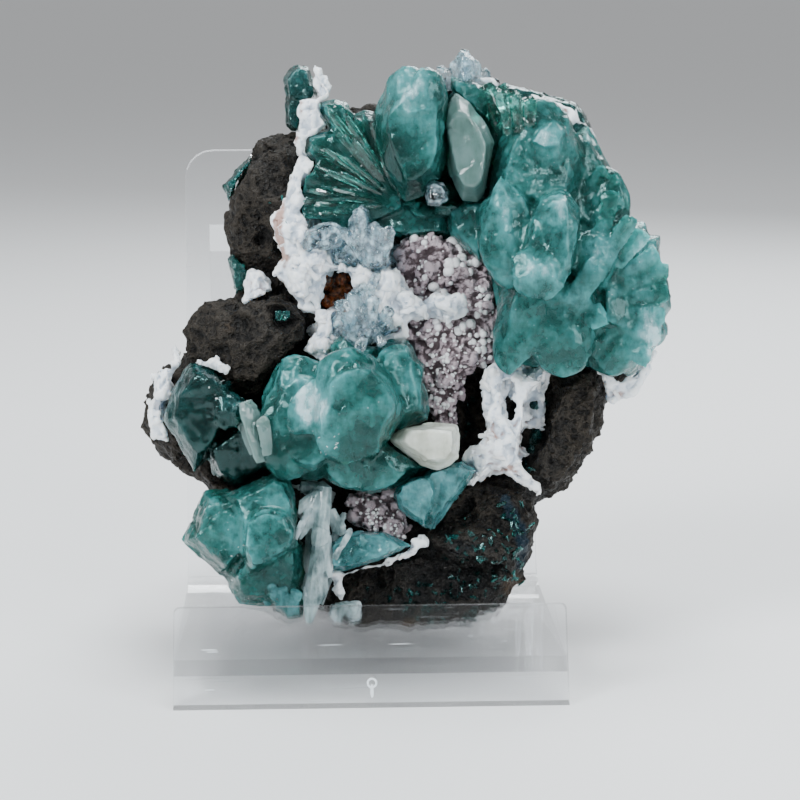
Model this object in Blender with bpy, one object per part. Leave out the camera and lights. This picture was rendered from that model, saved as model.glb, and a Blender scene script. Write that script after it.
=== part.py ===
"""Green apophyllite on basalt with white chalcedony and stilbite, leaning in a clear acrylic easel.

Units are millimetres in the constants and metres in the meshes. The origin is the middle of the
front panel's foot, on the table: +X is to the right, +Y away from the viewer, +Z up.
"""
import bpy
import bmesh
from math import cos, radians, sin, tan
from mathutils import Matrix, Vector, noise
from mathutils.bvhtree import BVHTree

MM = 0.001
GAP = 0.3

# The easel: a bent sheet, a front panel that stands on the table and a leg glued on behind
STAND_WIDTH = 101.6
SHEET = 3.8
PANEL_LEAN = radians(23)
PANEL_LENGTH = 26.5
PANEL_FOOT = SHEET / cos(PANEL_LEAN)
PANEL_CORNER = 1.5
PANEL_HOLE = 2.6
PANEL_HOLE_HEIGHT = 6.0
LEDGE_TOP = 10.5
BACK_FOOT = 82.94
BACK_LEAN = radians(12)
BACK_TOP = 134.0
BACK_CORNER = 8.0
BEND_RADIUS = 9.0
BEND_STEPS = 6
LEG_WIDTH = 88.0
LEG_TOP = 112.0
LEG_LEAN = radians(17)
LEG_CORNER = 3.0

# The stone leans back with the easel. Its face is the plane that the crystals stand proud of.
STONE_FACE = 32.94
STONE_DEPTH = (BACK_FOOT - STONE_FACE) * cos(BACK_LEAN)

# The view that the outlines below are drawn from, in the photograph's 800 by 800 frame
VIEW_TURN = radians(-2.5)
VIEW_TILT = radians(10.7)
VIEW_POINT = (7.2, -562.06, 186.0)
VIEW_FOCUS = 2285.0
VIEW_MIDDLE = 400.0

# Lumps stand on the rock by this share of their radius, and their necks are this share as thick
LUMP_LIFT = 0.35
NECK = 0.8

# Faces that meet at less than this are one flat face
FLAT = radians(3)

# Points this close are made one after a cut: a finer distance is used where a coarse one opens a piece
CLEANING = (0.04, 0.02, 0.01, 0.004, 0.0)

# Fineness of the lumpy pieces
ROCK_VOXEL = 2.2
ROCK_FACES = 1350
CRUST_VOXEL = 1.2
DRUSE_VOXEL = 1.3

# The rock's flat front under the crystals, where nothing shows it, stays smooth between these heights
HIDDEN_FROM = -9.5
HIDDEN_TO = -3.5

# A piece that the crystals in front cut apart keeps each body with at least this surface, in mm2
SMALLEST_BODY = 70.0

# Where a line of sight misses the rock, what should sit on it is this far proud instead
EDGE_LEVEL = -6.0

COLOURS = {
    "green": ((0.10, 0.42, 0.34, 1), 0.15),
    "dark_green": ((0.03, 0.22, 0.17, 1), 0.12),
    "pale_green": ((0.28, 0.58, 0.55, 1), 0.18),
    "clear": ((0.75, 0.82, 0.86, 1), 0.06),
    "stilbite": ((0.78, 0.76, 0.70, 1), 0.30),
    "chalcedony": ((0.86, 0.84, 0.82, 1), 0.45),
    "druse": ((0.55, 0.46, 0.48, 1), 0.40),
    "basalt": ((0.07, 0.055, 0.045, 1), 0.85),
    "acrylic": ((0.80, 0.84, 0.90, 1), 0.03),
}

# Crystals as seen. The outline is the widest ring, at the height girdle proud of the stone's face.
# The front face is that ring drawn in by the share top towards peak, at the height front, and lean
# tilts it, in millimetres over a hundred pixels across and down. The root is set into the rock.
BARREL = [
    dict(outline=[(401, 73), (428, 66), (443, 76), (449, 92), (449, 150), (442, 180), (424, 197),
                  (404, 203), (388, 168), (376, 137), (374, 112), (380, 95)],
         girdle=13, front=25, root=-14, peak=(414, 136), top=0.66, lean=(2, -3)),
    dict(outline=[(380, 106), (388, 86), (401, 74), (428, 67), (442, 77), (447, 96), (438, 116), (404, 124)],
         girdle=17, front=25, root=-4, peak=(417, 96), top=0.62, lean=(3, 12)),
]
UPPER_RIGHT = [
    dict(outline=[(522, 105), (545, 109), (578, 132), (584, 152), (584, 176), (578, 200), (540, 212),
                  (505, 206), (488, 192), (493, 162), (499, 140), (508, 122)],
         girdle=9, front=19, root=-14, peak=(540, 168), top=0.68, lean=(-3, 3)),
    dict(outline=[(530, 143), (539, 129), (556, 120), (567, 131), (561, 147), (543, 150)],
         girdle=15, front=21, root=0, peak=(549, 135), top=0.8, lean=(0, 6)),
    dict(outline=[(576, 131), (588, 125), (598, 148), (602, 168), (612, 170), (608, 212), (592, 235),
                  (574, 226)],
         girdle=3, front=10, root=-16, peak=(588, 190), top=0.75, lean=(-6, 2)),
]
ROSETTE = [
    dict(outline=[(484, 250), (500, 200), (560, 200), (604, 228), (652, 238), (666, 285), (654, 345),
                  (625, 372), (560, 364), (506, 352), (498, 300)],
         girdle=3, front=10, root=-12, peak=(580, 290), top=0.85, lean=(-2, 0)),
    dict(outline=[(507, 177), (522, 184), (531, 200), (537, 235), (528, 264), (508, 272), (492, 266),
                  (480, 240), (478, 206), (489, 196), (497, 184)],
         girdle=15, front=27, root=-10, peak=(520, 224), top=0.72, lean=(5, 2)),
    dict(outline=[(560, 189), (540, 196), (532, 208), (528, 250), (511, 268), (509, 281), (527, 296),
                  (553, 288), (568, 268), (580, 235), (580, 208), (571, 193)],
         girdle=20, front=33, root=-10, peak=(558, 228), top=0.7, lean=(0, 1)),
    dict(outline=[(529, 258), (513, 267), (511, 279), (528, 294), (551, 286), (561, 267)],
         girdle=19.4, front=28, root=0, peak=(534, 272), top=0.72, lean=(4, -8)),
    dict(outline=[(504, 284), (497, 303), (496, 330), (501, 351), (513, 363), (536, 368), (566, 361),
                  (594, 347), (607, 318), (600, 284), (562, 268), (530, 276)],
         girdle=10, front=21, root=-12, peak=(554, 312), top=0.74, lean=(0, -5)),
    dict(outline=[(580, 236), (600, 227), (618, 240), (624, 264), (608, 292), (576, 292), (562, 272),
                  (564, 250)],
         girdle=14, front=23, root=-10, peak=(596, 252), top=0.66, lean=(0, 3)),
    dict(outline=[(598, 228), (617, 220), (645, 222), (650, 236), (644, 275), (622, 306), (596, 284)],
         girdle=7, front=16, root=-12, peak=(622, 250), top=0.8, lean=(-6, 2)),
    dict(outline=[(625, 236), (661, 234), (657, 247), (660, 262), (650, 300), (620, 300)],
         girdle=4, front=12, root=-12, peak=(638, 258), top=0.8, lean=(-6, 0)),
    dict(outline=[(640, 258), (661, 264), (669, 282), (672, 308), (660, 330), (636, 338), (600, 326),
                  (600, 290)],
         girdle=5, front=16, root=-12, peak=(626, 304), top=0.78, lean=(-10, 0)),
    dict(outline=[(604, 312), (660, 322), (656, 345), (645, 366), (630, 377), (610, 368), (598, 342)],
         girdle=4, front=14, root=-12, peak=(624, 336), top=0.74, lean=(-8, -4)),
    dict(outline=[(580, 340), (612, 330), (622, 355), (618, 372), (600, 372), (587, 357)],
         girdle=5, front=14, root=-8, peak=(602, 350), top=0.74, lean=(0, -6)),
    dict(outline=[(444, 205), (480, 198), (488, 240), (480, 264), (464, 244), (450, 236)],
         girdle=3, front=10, root=-10, peak=(472, 222), top=0.75, lean=(8, 0)),
]
GLASSY_BACK = [
    dict(outline=[(352, 114), (364, 109), (375, 111), (380, 135), (396, 172), (402, 200), (380, 172),
                  (360, 148), (350, 130)],
         girdle=1, front=7, root=-14, top=0.7),
    dict(outline=[(318, 101), (334, 99), (348, 102), (354, 119), (345, 130), (330, 128), (322, 115)],
         girdle=3, front=8, root=-14, top=0.7),
    dict(outline=[(306, 134), (332, 128), (342, 150), (338, 170), (318, 168), (303, 152)],
         girdle=2, front=7, root=-12, top=0.7),
    dict(outline=[(340, 195), (380, 198), (402, 203), (440, 206), (455, 216), (452, 236), (420, 238),
                  (392, 236), (366, 228)],
         girdle=-2, front=3, root=-12, top=0.75),
]
FAN_HUB = (402, 206)
FAN_TIPS = [(340, 116), (326, 142), (314, 166), (303, 186), (302, 206), (322, 222)]
CENTRE_LEFT = [
    dict(outline=[(312, 375), (332, 359), (355, 354), (373, 357), (392, 375), (405, 402), (404, 418),
                  (390, 440), (371, 463), (352, 457), (335, 438), (314, 420)],
         girdle=21, front=33, root=-10, peak=(368, 402), top=0.68, lean=(0, -4)),
    dict(outline=[(262, 395), (276, 364), (290, 357), (305, 355), (330, 366), (345, 400), (346, 440),
                  (338, 470), (318, 482), (300, 480), (278, 468), (271, 440), (261, 412)],
         girdle=11, front=23, root=-12, peak=(306, 428), top=0.68, lean=(5, 0)),
    dict(outline=[(290, 408), (305, 391), (322, 377), (348, 378), (352, 394), (326, 426), (306, 440)],
         girdle=19, front=28, root=-4, peak=(322, 402), top=0.78, lean=(10, -4)),
    dict(outline=[(274, 372), (290, 358), (305, 356), (318, 366), (312, 388), (288, 398), (272, 390)],
         girdle=14, front=21, root=-4, peak=(294, 378), top=0.7, lean=(4, 8)),
    dict(outline=[(378, 345), (390, 339), (406, 339), (414, 347), (421, 372), (429, 395), (429, 420),
                  (410, 426), (392, 412), (376, 375)],
         girdle=10, front=21, root=-12, peak=(402, 382), top=0.72, lean=(-6, 2)),
    dict(outline=[(333, 440), (371, 438), (402, 450), (430, 468), (410, 477), (392, 490), (370, 495),
                  (350, 489), (328, 482), (312, 466)],
         girdle=9, front=21, root=-12, peak=(364, 462), top=0.7, lean=(-3, -8)),
    dict(outline=[(328, 362), (338, 347), (350, 345), (362, 353), (378, 346), (384, 372), (352, 384)],
         girdle=9, front=16, root=-10, top=0.7, lean=(0, 6)),
]
LEFT_FAN = [
    dict(outline=[(190, 362), (174, 384), (163, 420), (180, 444), (194, 472), (207, 461), (219, 446),
                  (226, 405), (235, 378), (214, 366)],
         girdle=3, front=12, root=-12, peak=(204, 412), top=0.72, lean=(6, -3)),
    dict(outline=[(214, 398), (232, 391), (246, 398), (243, 411), (232, 424), (214, 427), (210, 412)],
         girdle=7, front=14, root=-8, top=0.75),
    dict(outline=[(205, 446), (240, 420), (258, 440), (274, 455), (276, 468), (250, 481), (232, 488),
                  (212, 474)],
         girdle=1, front=9, root=-12, top=0.75, lean=(0, -5)),
    dict(outline=[(240, 420), (254, 402), (264, 412), (272, 450), (260, 452), (246, 436)],
         girdle=6, front=14, root=-6, top=0.6, lean=(-8, 0)),
]
BOTTOM_LEFT = [
    dict(outline=[(241, 518), (262, 505), (288, 508), (299, 528), (299, 547), (275, 563), (250, 573),
                  (241, 557)],
         girdle=18, front=28, root=-8, peak=(268, 540), top=0.78, lean=(-3, -2)),
    dict(outline=[(222, 494), (252, 481), (276, 471), (290, 478), (298, 500), (298, 526), (262, 530),
                  (232, 526)],
         girdle=11, front=22, root=-10, peak=(268, 508), top=0.7, lean=(0, 9)),
    dict(outline=[(180, 541), (199, 508), (204, 489), (229, 488), (250, 515), (250, 558), (226, 581),
                  (205, 563)],
         girdle=5, front=18, root=-12, peak=(226, 534), top=0.68, lean=(9, 0)),
    dict(outline=[(226, 578), (243, 552), (275, 556), (303, 543), (306, 575), (300, 600), (264, 607),
                  (238, 606), (229, 591)],
         girdle=6, front=17, root=-12, peak=(266, 574), top=0.72, lean=(0, -9)),
    dict(outline=[(264, 598), (272, 588), (286, 586), (304, 590), (304, 618), (288, 621), (276, 610)],
         girdle=8, front=14, root=-8, top=0.72),
]
SLAB = [
    dict(outline=[(322, 546), (340, 535), (362, 530), (384, 531), (400, 538), (413, 546), (398, 553),
                  (380, 561), (356, 565), (344, 572), (326, 570)],
         girdle=8, front=13, root=-8, peak=(362, 548), top=0.78, lean=(0, 4)),
]
PALE_PAIR = [
    dict(outline=[(393, 495), (400, 483), (415, 476), (434, 474), (440, 492), (435, 516), (426, 531),
                  (412, 520), (398, 510)],
         girdle=11, front=18, root=-8, peak=(415, 494), top=0.76, lean=(0, -4)),
    dict(outline=[(425, 470), (446, 463), (464, 460), (478, 470), (463, 490), (449, 498), (440, 510),
                  (430, 534), (421, 500)],
         girdle=8, front=15, root=-8, peak=(444, 484), top=0.72, lean=(-4, -3)),
]
BACK_LEFT = [
    dict(outline=[(282, 78), (288, 68), (297, 64), (309, 66), (314, 80), (319, 96), (306, 106),
                  (286, 102)],
         girdle=-13, front=-6, root=-27, top=0.72),
    dict(outline=[(284, 98), (305, 96), (302, 120), (296, 135), (286, 126)],
         girdle=-12, front=-7, root=-28, top=0.7),
]
BACK_RIDGE = [
    dict(outline=[(494, 84), (508, 83), (545, 93), (548, 112), (520, 118), (498, 108)],
         girdle=-14, front=-9, root=-30, top=0.8),
    dict(outline=[(538, 93), (575, 101), (588, 115), (593, 132), (570, 140), (545, 122)],
         girdle=-15, front=-9, root=-30, top=0.8),
]
DARK_GAP = [
    dict(outline=[(500, 97), (524, 101), (526, 120), (508, 150), (494, 170), (484, 150), (486, 118)],
         girdle=0, front=6, root=-14, top=0.75),
]
TOP_SMALL = [
    dict(outline=[(449, 74), (462, 78), (484, 84), (499, 96), (486, 121), (472, 110), (458, 96),
                  (450, 90)],
         girdle=3, front=10, root=-16, top=0.72),
]
CLEAR_TIP = [
    dict(outline=[(456, 57), (460, 50), (468, 50), (475, 59), (478, 69), (472, 80), (463, 92),
                  (457, 82)],
         girdle=5, front=11, root=-3, peak=(465, 62), top=0.55),
]
SMALL_CLEAR = [
    dict(outline=[(426, 186), (432, 180), (443, 182), (448, 190), (449, 199), (441, 207), (427, 206),
                  (425, 197)],
         girdle=17, front=23, root=-2, top=0.66),
]
CLEAR_CLUSTER = [
    dict(outline=[(348, 220), (354, 211), (362, 203), (369, 209), (371, 230), (366, 246), (352, 246)],
         girdle=9, front=18, root=-6, peak=(361, 226), top=0.6),
    dict(outline=[(356, 230), (385, 225), (391, 240), (391, 264), (380, 280), (358, 268)],
         girdle=6, front=14, root=-6, top=0.72),
    dict(outline=[(330, 252), (352, 238), (364, 252), (356, 268), (334, 264)],
         girdle=6, front=13, root=-6, top=0.7),
    dict(outline=[(300, 243), (305, 230), (318, 224), (333, 221), (350, 230), (352, 238), (342, 247),
                  (320, 250), (305, 252)],
         girdle=10, front=15, root=-4, top=0.74),
]
CLEAR_LOWER = [
    dict(outline=[(350, 290), (356, 284), (366, 280), (371, 294), (366, 306), (352, 308)],
         girdle=8, front=14, root=-5, top=0.6),
    dict(outline=[(331, 318), (348, 298), (375, 304), (384, 324), (373, 342), (360, 355), (345, 346),
                  (333, 334)],
         girdle=9, front=18, root=-6, top=0.66),
    dict(outline=[(374, 308), (396, 314), (399, 330), (382, 338), (372, 326)],
         girdle=7, front=13, root=-6, top=0.7),
]
STILBITE_BLADE = [
    dict(outline=[(456, 93), (470, 102), (488, 126), (495, 142), (491, 168), (486, 195), (478, 204),
                  (462, 202), (450, 178), (443, 145), (438, 124), (444, 104)],
         girdle=12, front=21, root=-12, peak=(469, 148), top=0.7, lean=(3, 0)),
]
STILBITE_POINT = [
    dict(outline=[(388, 440), (393, 433), (402, 427), (430, 423), (458, 425), (461, 440), (459, 456),
                  (450, 467), (438, 470), (424, 466), (408, 457), (394, 446)],
         girdle=16, front=25, root=-2, peak=(436, 442), top=0.66, lean=(2, -6)),
]
SMALL_LEFT_TOP = [
    dict(outline=[(222, 186), (228, 180), (243, 179), (252, 152), (256, 160), (254, 190), (242, 200),
                  (230, 206)],
         girdle=-11, front=-6, root=-22, top=0.7),
]
SMALL_LEFT_LOW = [
    dict(outline=[(227, 258), (232, 250), (246, 262), (252, 276), (246, 296), (236, 298), (232, 276)],
         girdle=-9, front=-5, root=-20, top=0.7),
]
SMALL_IN_VESICLE = [
    dict(outline=[(268, 308), (294, 308), (293, 317), (286, 324), (276, 324), (270, 317)],
         girdle=5, front=9, root=-4, top=0.7),
]
HANGING_BITS = [
    dict(outline=[(330, 604), (346, 602), (346, 614), (337, 624), (331, 616)],
         girdle=8, front=12, root=-4, top=0.6),
    dict(outline=[(343, 603), (359, 602), (361, 618), (352, 623), (345, 613)],
         girdle=8, front=12, root=-4, top=0.6),
]

# Blades of the white sheaf: both ends in the photograph, then width, thickness and height proud
SHEAF_BLADES = [
    ((300, 487), (332, 490), 5.0, 6.0, 9, 9),
    ((322, 488), (293, 514), 3.6, 4.0, 11, 12),
    ((320, 492), (299, 539), 3.6, 4.0, 12, 13),
    ((326, 486), (318, 560), 5.0, 6.0, 12, 13),
    ((320, 535), (309, 624), 5.4, 7.0, 13, 13),
    ((324, 520), (330, 578), 4.0, 5.0, 11, 12),
    ((330, 510), (343, 536), 4.6, 4.0, 8, 9),
    ((322, 560), (319, 604), 4.4, 5.0, 10, 10),
]

# Lumps of the white chalcedony: place in the photograph, height proud and radius
CRUST_UPPER_LEFT = [
    (315, 66, -1, 1.4), (319, 76, 0, 2.1), (323, 88, 1, 2.4), (325, 97, 2, 2.2), (305, 104, 2, 1.9),
    (312, 112, 3, 3.4), (320, 121, 4, 3.0), (307, 120, 2, 2.4), (302, 133, 3, 2.2), (303, 141, 4, 2.6),
    (304, 156, 4, 2.2), (304, 168, 5, 2.5), (302, 178, 5, 2.8), (296, 190, 5, 3.0), (296, 203, 6, 3.4),
    (289, 213, 6, 3.9), (281, 226, 6, 3.6), (294, 226, 7, 4.2), (290, 240, 7, 3.9), (297, 252, 7, 3.6),
    (294, 264, 6, 3.0), (284, 275, 6, 2.8), (298, 277, 7, 3.8), (308, 270, 7, 3.2), (303, 288, 6, 3.2),
    (311, 298, 5, 3.2), (305, 308, 4, 2.4), (316, 306, 5, 2.4), (322, 266, 8, 3.0), (312, 260, 7, 2.8),
    (316, 284, 5, 3.4), (334, 264, 8, 2.8),
]
CRUST_CENTRE = [
    (345, 266, 9, 2.9), (360, 272, 9, 3.4), (374, 278, 9, 3.8), (385, 290, 8, 3.8), (370, 296, 7, 3.8),
    (392, 302, 8, 3.8), (406, 306, 8, 3.8), (418, 309, 7, 3.4), (388, 318, 7, 4.0), (399, 328, 6, 2.8),
    (382, 332, 6, 3.4), (436, 300, 6, 3.0), (450, 303, 8, 4.4), (459, 313, 7, 3.0), (444, 314, 6, 3.0),
    (428, 312, 5, 2.8), (332, 322, 7, 3.4), (324, 334, 7, 3.4), (318, 346, 7, 3.4), (322, 356, 7, 2.0),
    (312, 350, 6, 2.6), (366, 330, 5, 4.4), (350, 338, 4, 4.0), (344, 320, 5, 4.2), (338, 342, 4, 3.0),
    (404, 292, 4, 2.6), (394, 276, 5, 2.6),
]
CRUST_RIGHT = [
    (502, 362, 3, 2.8), (514, 370, 4, 3.2), (530, 372, 4, 3.0), (545, 374, 4, 2.4), (492, 376, 5, 3.0),
    (503, 382, 6, 3.6), (520, 384, 6, 4.0), (534, 388, 6, 3.4), (494, 396, 6, 3.4), (493, 411, 7, 3.6),
    (496, 426, 7, 3.8), (507, 434, 7, 3.4), (536, 400, 6, 3.2), (528, 412, 7, 3.4), (527, 428, 7, 3.6),
    (516, 440, 8, 4.0), (502, 444, 8, 4.0), (531, 446, 6, 2.8), (488, 452, 7, 3.6), (478, 458, 6, 3.4),
    (468, 468, 5, 3.0), (494, 460, 7, 3.6), (508, 458, 7, 3.4), (512, 470, 5, 2.4), (522, 478, 4, 1.8),
    (532, 486, 3, 1.6), (541, 493, 2, 1.5), (478, 472, 4, 2.6), (463, 478, 4, 2.4), (458, 488, 3, 1.7),
    (512, 396, 3, 2.6),
]
CRUST_LEFT_EDGE = [
    (177, 349, -2, 2.0), (178, 358, -1, 2.2), (177, 366, -1, 1.7), (160, 372, -3, 2.0), (161, 382, -2, 2.6),
    (161, 394, -1, 2.9), (157, 406, -2, 2.6), (157, 418, -2, 2.4), (160, 430, -3, 2.0), (161, 439, -4, 1.6),
    (169, 376, -2, 1.8),
]
CRUST_LEFT_PATCH = [
    (198, 365, 5, 2.0), (207, 366, 6, 2.4), (217, 365, 6, 2.2), (225, 366, 5, 1.8), (202, 372, 6, 1.7),
    (211, 374, 6, 1.5),
]
CRUST_LEFT_MIDDLE = [
    (252, 277, -1, 2.0), (260, 281, 0, 2.8), (254, 290, 0, 2.8), (266, 286, 0, 2.2), (250, 299, 0, 2.2),
]
CRUST_TOP_RIM = [
    (440, 67, -1, 1.2), (447, 66, 0, 1.6), (453, 68, 0, 1.7), (484, 78, -2, 1.3), (490, 84, -1, 2.0),
    (496, 91, -1, 1.8), (504, 96, -1, 1.3), (513, 99, -1, 1.2), (523, 100, -1, 1.1), (533, 98, -1, 1.2),
    (542, 101, -1, 1.2), (550, 105, -1, 1.3), (560, 108, 0, 1.6), (568, 113, 0, 2.2), (566, 120, 1, 2.0),
    (574, 121, 0, 2.0), (583, 124, -1, 1.3), (590, 131, -2, 1.4), (594, 140, -3, 1.3), (597, 149, -4, 1.1),
    (600, 159, -4, 1.1), (478, 76, -2, 1.3),
]
CRUST_RIGHT_PATCH = [
    (619, 190, -3, 2.2), (620, 200, -3, 2.4), (618, 210, -3, 2.3), (612, 217, -3, 1.7), (622, 184, -4, 1.4),
]
CRUST_RIGHT_RIM = [
    (652, 352, -6, 1.5), (648, 362, -6, 1.9), (643, 372, -5, 2.1), (636, 380, -5, 2.5), (627, 388, -4, 2.5),
    (617, 391, -4, 2.6), (624, 397, -5, 2.0), (612, 398, -4, 1.8), (606, 374, 0, 1.3), (597, 371, 1, 1.2),
    (612, 384, -3, 1.6),
]
CRUST_BOTTOM_RIM = [
    (334, 574, 7, 2.0), (344, 576, 7, 1.8), (351, 568, 7, 1.6), (364, 567, 7, 1.5), (378, 566, 7, 1.5),
    (392, 560, 7, 1.6), (404, 554, 7, 1.8), (416, 548, 6, 2.1), (423, 541, 5, 1.9), (412, 541, 6, 1.7),
    (336, 586, 6, 1.8), (340, 596, 6, 1.5),
]

# Broad masses of the chalcedony between its lumps: how thick on the rock, and the outline
SLABS_UPPER_LEFT = [
    (3.2, [(276, 226), (284, 214), (296, 200), (310, 208), (322, 220), (304, 238), (298, 252), (286, 250)]),
    (3.0, [(296, 236), (322, 226), (336, 246), (350, 262), (330, 270), (304, 262)]),
    (3.0, [(278, 274), (292, 258), (312, 252), (336, 262), (330, 280), (316, 308), (303, 308), (290, 290)]),
    (2.4, [(301, 101), (311, 102), (322, 111), (328, 123), (326, 131), (315, 130), (306, 124)]),
    (2.4, [(299, 136), (308, 132), (309, 168), (304, 196), (294, 200), (299, 172)]),
]
SLABS_CENTRE = [
    (3.0, [(346, 262), (372, 254), (392, 262), (406, 290), (402, 312), (378, 306), (356, 284)]),
    (2.6, [(326, 312), (344, 290), (372, 296), (403, 314), (400, 336), (372, 346), (345, 350), (328, 340)]),
    (2.8, [(312, 316), (330, 308), (340, 345), (323, 363), (307, 352), (308, 334)]),
    (2.8, [(388, 294), (415, 293), (434, 302), (432, 319), (404, 324), (390, 312)]),
    (3.4, [(430, 300), (450, 289), (467, 302), (468, 321), (453, 328), (436, 320)]),
]
SLABS_RIGHT = [
    (2.8, [(497, 358), (515, 364), (554, 371), (549, 388), (536, 402), (512, 398), (490, 400), (485, 378)]),
    (3.0, [(486, 380), (504, 384), (508, 430), (500, 456), (485, 452), (484, 400)]),
    (2.8, [(520, 390), (547, 384), (546, 420), (536, 450), (519, 455), (516, 420)]),
    (3.0, [(490, 430), (535, 430), (533, 452), (514, 472), (494, 474), (470, 482), (458, 490), (455, 476),
           (468, 458)]),
]
SLABS_LEFT_EDGE = [
    (2.4, [(152, 374), (160, 367), (172, 370), (173, 388), (166, 420), (161, 440), (152, 418), (147, 406)]),
]
SLABS_LEFT_MIDDLE = [
    (2.2, [(248, 272), (258, 270), (276, 284), (262, 298), (253, 307), (240, 301), (246, 288)]),
]

# The mauve druse that lines the middle and the small hollow under the big crystals
DRUSE_CENTRE = [
    (410, 254, -2, 4.2), (430, 248, -1, 4.6), (448, 254, -1, 4.6), (468, 262, -1, 4.4), (484, 280, 0, 4.2),
    (410, 274, -2, 4.6), (430, 270, 0, 5.0), (452, 274, 0, 5.0), (472, 284, 0, 4.8), (488, 304, 0, 4.2),
    (418, 290, -1, 4.0), (440, 288, -1, 4.4), (476, 308, -1, 4.8), (488, 328, -1, 4.0), (412, 328, -1, 4.0),
    (432, 328, 0, 4.8), (452, 334, 0, 5.0), (472, 330, -1, 4.8), (484, 350, -2, 4.0), (428, 348, -1, 4.4),
    (448, 354, 0, 5.0), (468, 354, 0, 4.8), (432, 368, -2, 4.2), (450, 374, -1, 4.6), (436, 388, -3, 4.0),
    (450, 392, -3, 3.8), (440, 408, -3, 3.8), (446, 418, -3, 3.2),
]
DRUSE_LOW = [
    (358, 502, 0, 3.2), (372, 504, 0, 3.8), (388, 502, 0, 3.6), (360, 516, 0, 3.2), (376, 520, 0, 3.8),
    (392, 518, 0, 3.4), (396, 532, 0, 3.0), (402, 526, -1, 2.6),
]

# The basalt as convex masses: the same words as a crystal's
BASALT = [
    dict(outline=[(300, 130), (430, 92), (560, 112), (606, 180), (640, 260), (640, 340), (600, 400),
                  (560, 480), (480, 560), (300, 590), (240, 520), (210, 400), (240, 250), (270, 160)],
         girdle=-10, front=-5, root=-46, root_scale=0.88, top=0.9),
    dict(outline=[(258, 138), (268, 130), (285, 126), (302, 130), (300, 230), (285, 285), (250, 268),
                  (224, 246), (222, 230), (240, 196), (254, 160)],
         girdle=-8, front=2, root=-36, root_scale=0.9, top=0.7, lean=(9, 0)),
    dict(outline=[(183, 345), (203, 306), (240, 298), (280, 285), (312, 318), (316, 340), (300, 352),
                  (268, 366), (258, 396), (238, 396), (230, 372), (196, 360)],
         girdle=0, front=10, root=-38, root_scale=0.9, top=0.75, lean=(4, 0)),
    dict(outline=[(150, 372), (190, 350), (240, 380), (250, 440), (232, 500), (195, 474), (160, 452),
                  (140, 420), (140, 390)],
         girdle=-16, front=-8, root=-38, root_scale=0.8, top=0.8),
    dict(outline=[(546, 384), (556, 370), (582, 357), (600, 374), (606, 392), (604, 430), (590, 454),
                  (574, 474), (553, 501), (530, 480), (536, 440)],
         girdle=-6, front=6, root=-40, root_scale=0.9, top=0.72),
    dict(outline=[(430, 540), (445, 500), (462, 482), (498, 474), (530, 490), (536, 512), (524, 545),
                  (534, 560), (520, 582), (505, 596), (470, 560)],
         girdle=-6, front=4, root=-42, root_scale=0.88, top=0.75),
    dict(outline=[(430, 534), (470, 526), (506, 530), (524, 556), (520, 578), (490, 572), (440, 552)],
         girdle=2, front=10, root=-30, root_scale=0.9, top=0.75),
    dict(outline=[(340, 588), (352, 572), (420, 556), (500, 582), (500, 606), (480, 622), (450, 632),
                  (430, 637), (385, 636), (352, 629), (318, 614)],
         girdle=-2, front=4, root=-40, root_scale=0.88, top=0.75),
    dict(outline=[(205, 480), (300, 480), (350, 500), (350, 600), (330, 618), (262, 606), (232, 580),
                  (212, 545)],
         girdle=-8, front=-2, root=-40, root_scale=0.88, top=0.8),
    dict(outline=[(560, 130), (598, 150), (624, 200), (660, 260), (664, 310), (650, 352), (620, 396),
                  (590, 380), (560, 250)],
         girdle=-16, front=-8, root=-36, root_scale=0.8, top=0.8),
    dict(outline=[(335, 118), (372, 107), (440, 78), (500, 90), (575, 112), (560, 150), (420, 150),
                  (320, 150)],
         girdle=-14, front=-6, root=-36, root_scale=0.85, top=0.8),
]

# Hollows in the basalt: place and radius
PITS = [
    (281, 312, 4.6), (232, 334, 2.8), (212, 322, 2.4), (250, 332, 2.4), (300, 336, 3.4), (228, 350, 2.2),
    (276, 346, 2.4), (196, 344, 2.6), (246, 382, 2.6), (262, 158, 2.6), (280, 158, 3.2), (270, 182, 2.8),
    (248, 212, 2.6), (258, 244, 2.6), (246, 262, 2.4), (577, 384, 2.8), (586, 402, 2.2), (566, 414, 2.4),
    (574, 432, 2.6), (560, 456, 2.6), (552, 478, 2.4), (474, 404, 6.0), (472, 432, 5.6), (476, 378, 4.6),
    (378, 584, 7.2), (410, 582, 6.6), (440, 580, 6.4), (466, 584, 5.4), (358, 594, 5.4), (350, 506, 5.0),
    (172, 446, 3.6), (412, 530, 3.4), (512, 412, 3.4), (466, 506, 3.6), (488, 520, 2.8), (452, 522, 2.8),
    (470, 612, 2.4), (402, 614, 3.0), (432, 612, 2.6), (376, 618, 2.2),
]
# Hollows on the back, which the photograph doesn't show: across and up the stone, and radius
BACK_PITS = [
    (-40, 96, 5.0), (-22, 118, 4.0), (6, 104, 5.6), (30, 122, 4.0), (46, 92, 5.2), (18, 78, 4.0),
    (-16, 74, 5.4), (-44, 58, 4.0), (2, 50, 4.6), (34, 56, 5.0), (-24, 40, 4.0), (52, 70, 3.6), (12, 30, 4.2),
]


def removed_scene():
    for item in list(bpy.data.objects):
        bpy.data.objects.remove(item, do_unlink=True)


def turned(vector):
    return Matrix.Rotation(VIEW_TURN, 3, "Z") @ Vector(vector)


EYE = turned(VIEW_POINT)
FORWARD = turned((0, cos(VIEW_TILT), -sin(VIEW_TILT)))
UPWARD = turned((0, sin(VIEW_TILT), cos(VIEW_TILT)))
ACROSS = turned((1, 0, 0))
FACE_POINT = Vector((0, STONE_FACE, LEDGE_TOP))
FACE_NORMAL = Vector((0, -cos(BACK_LEAN), sin(BACK_LEAN)))
FACE_UP = Vector((0, sin(BACK_LEAN), cos(BACK_LEAN)))


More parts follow.
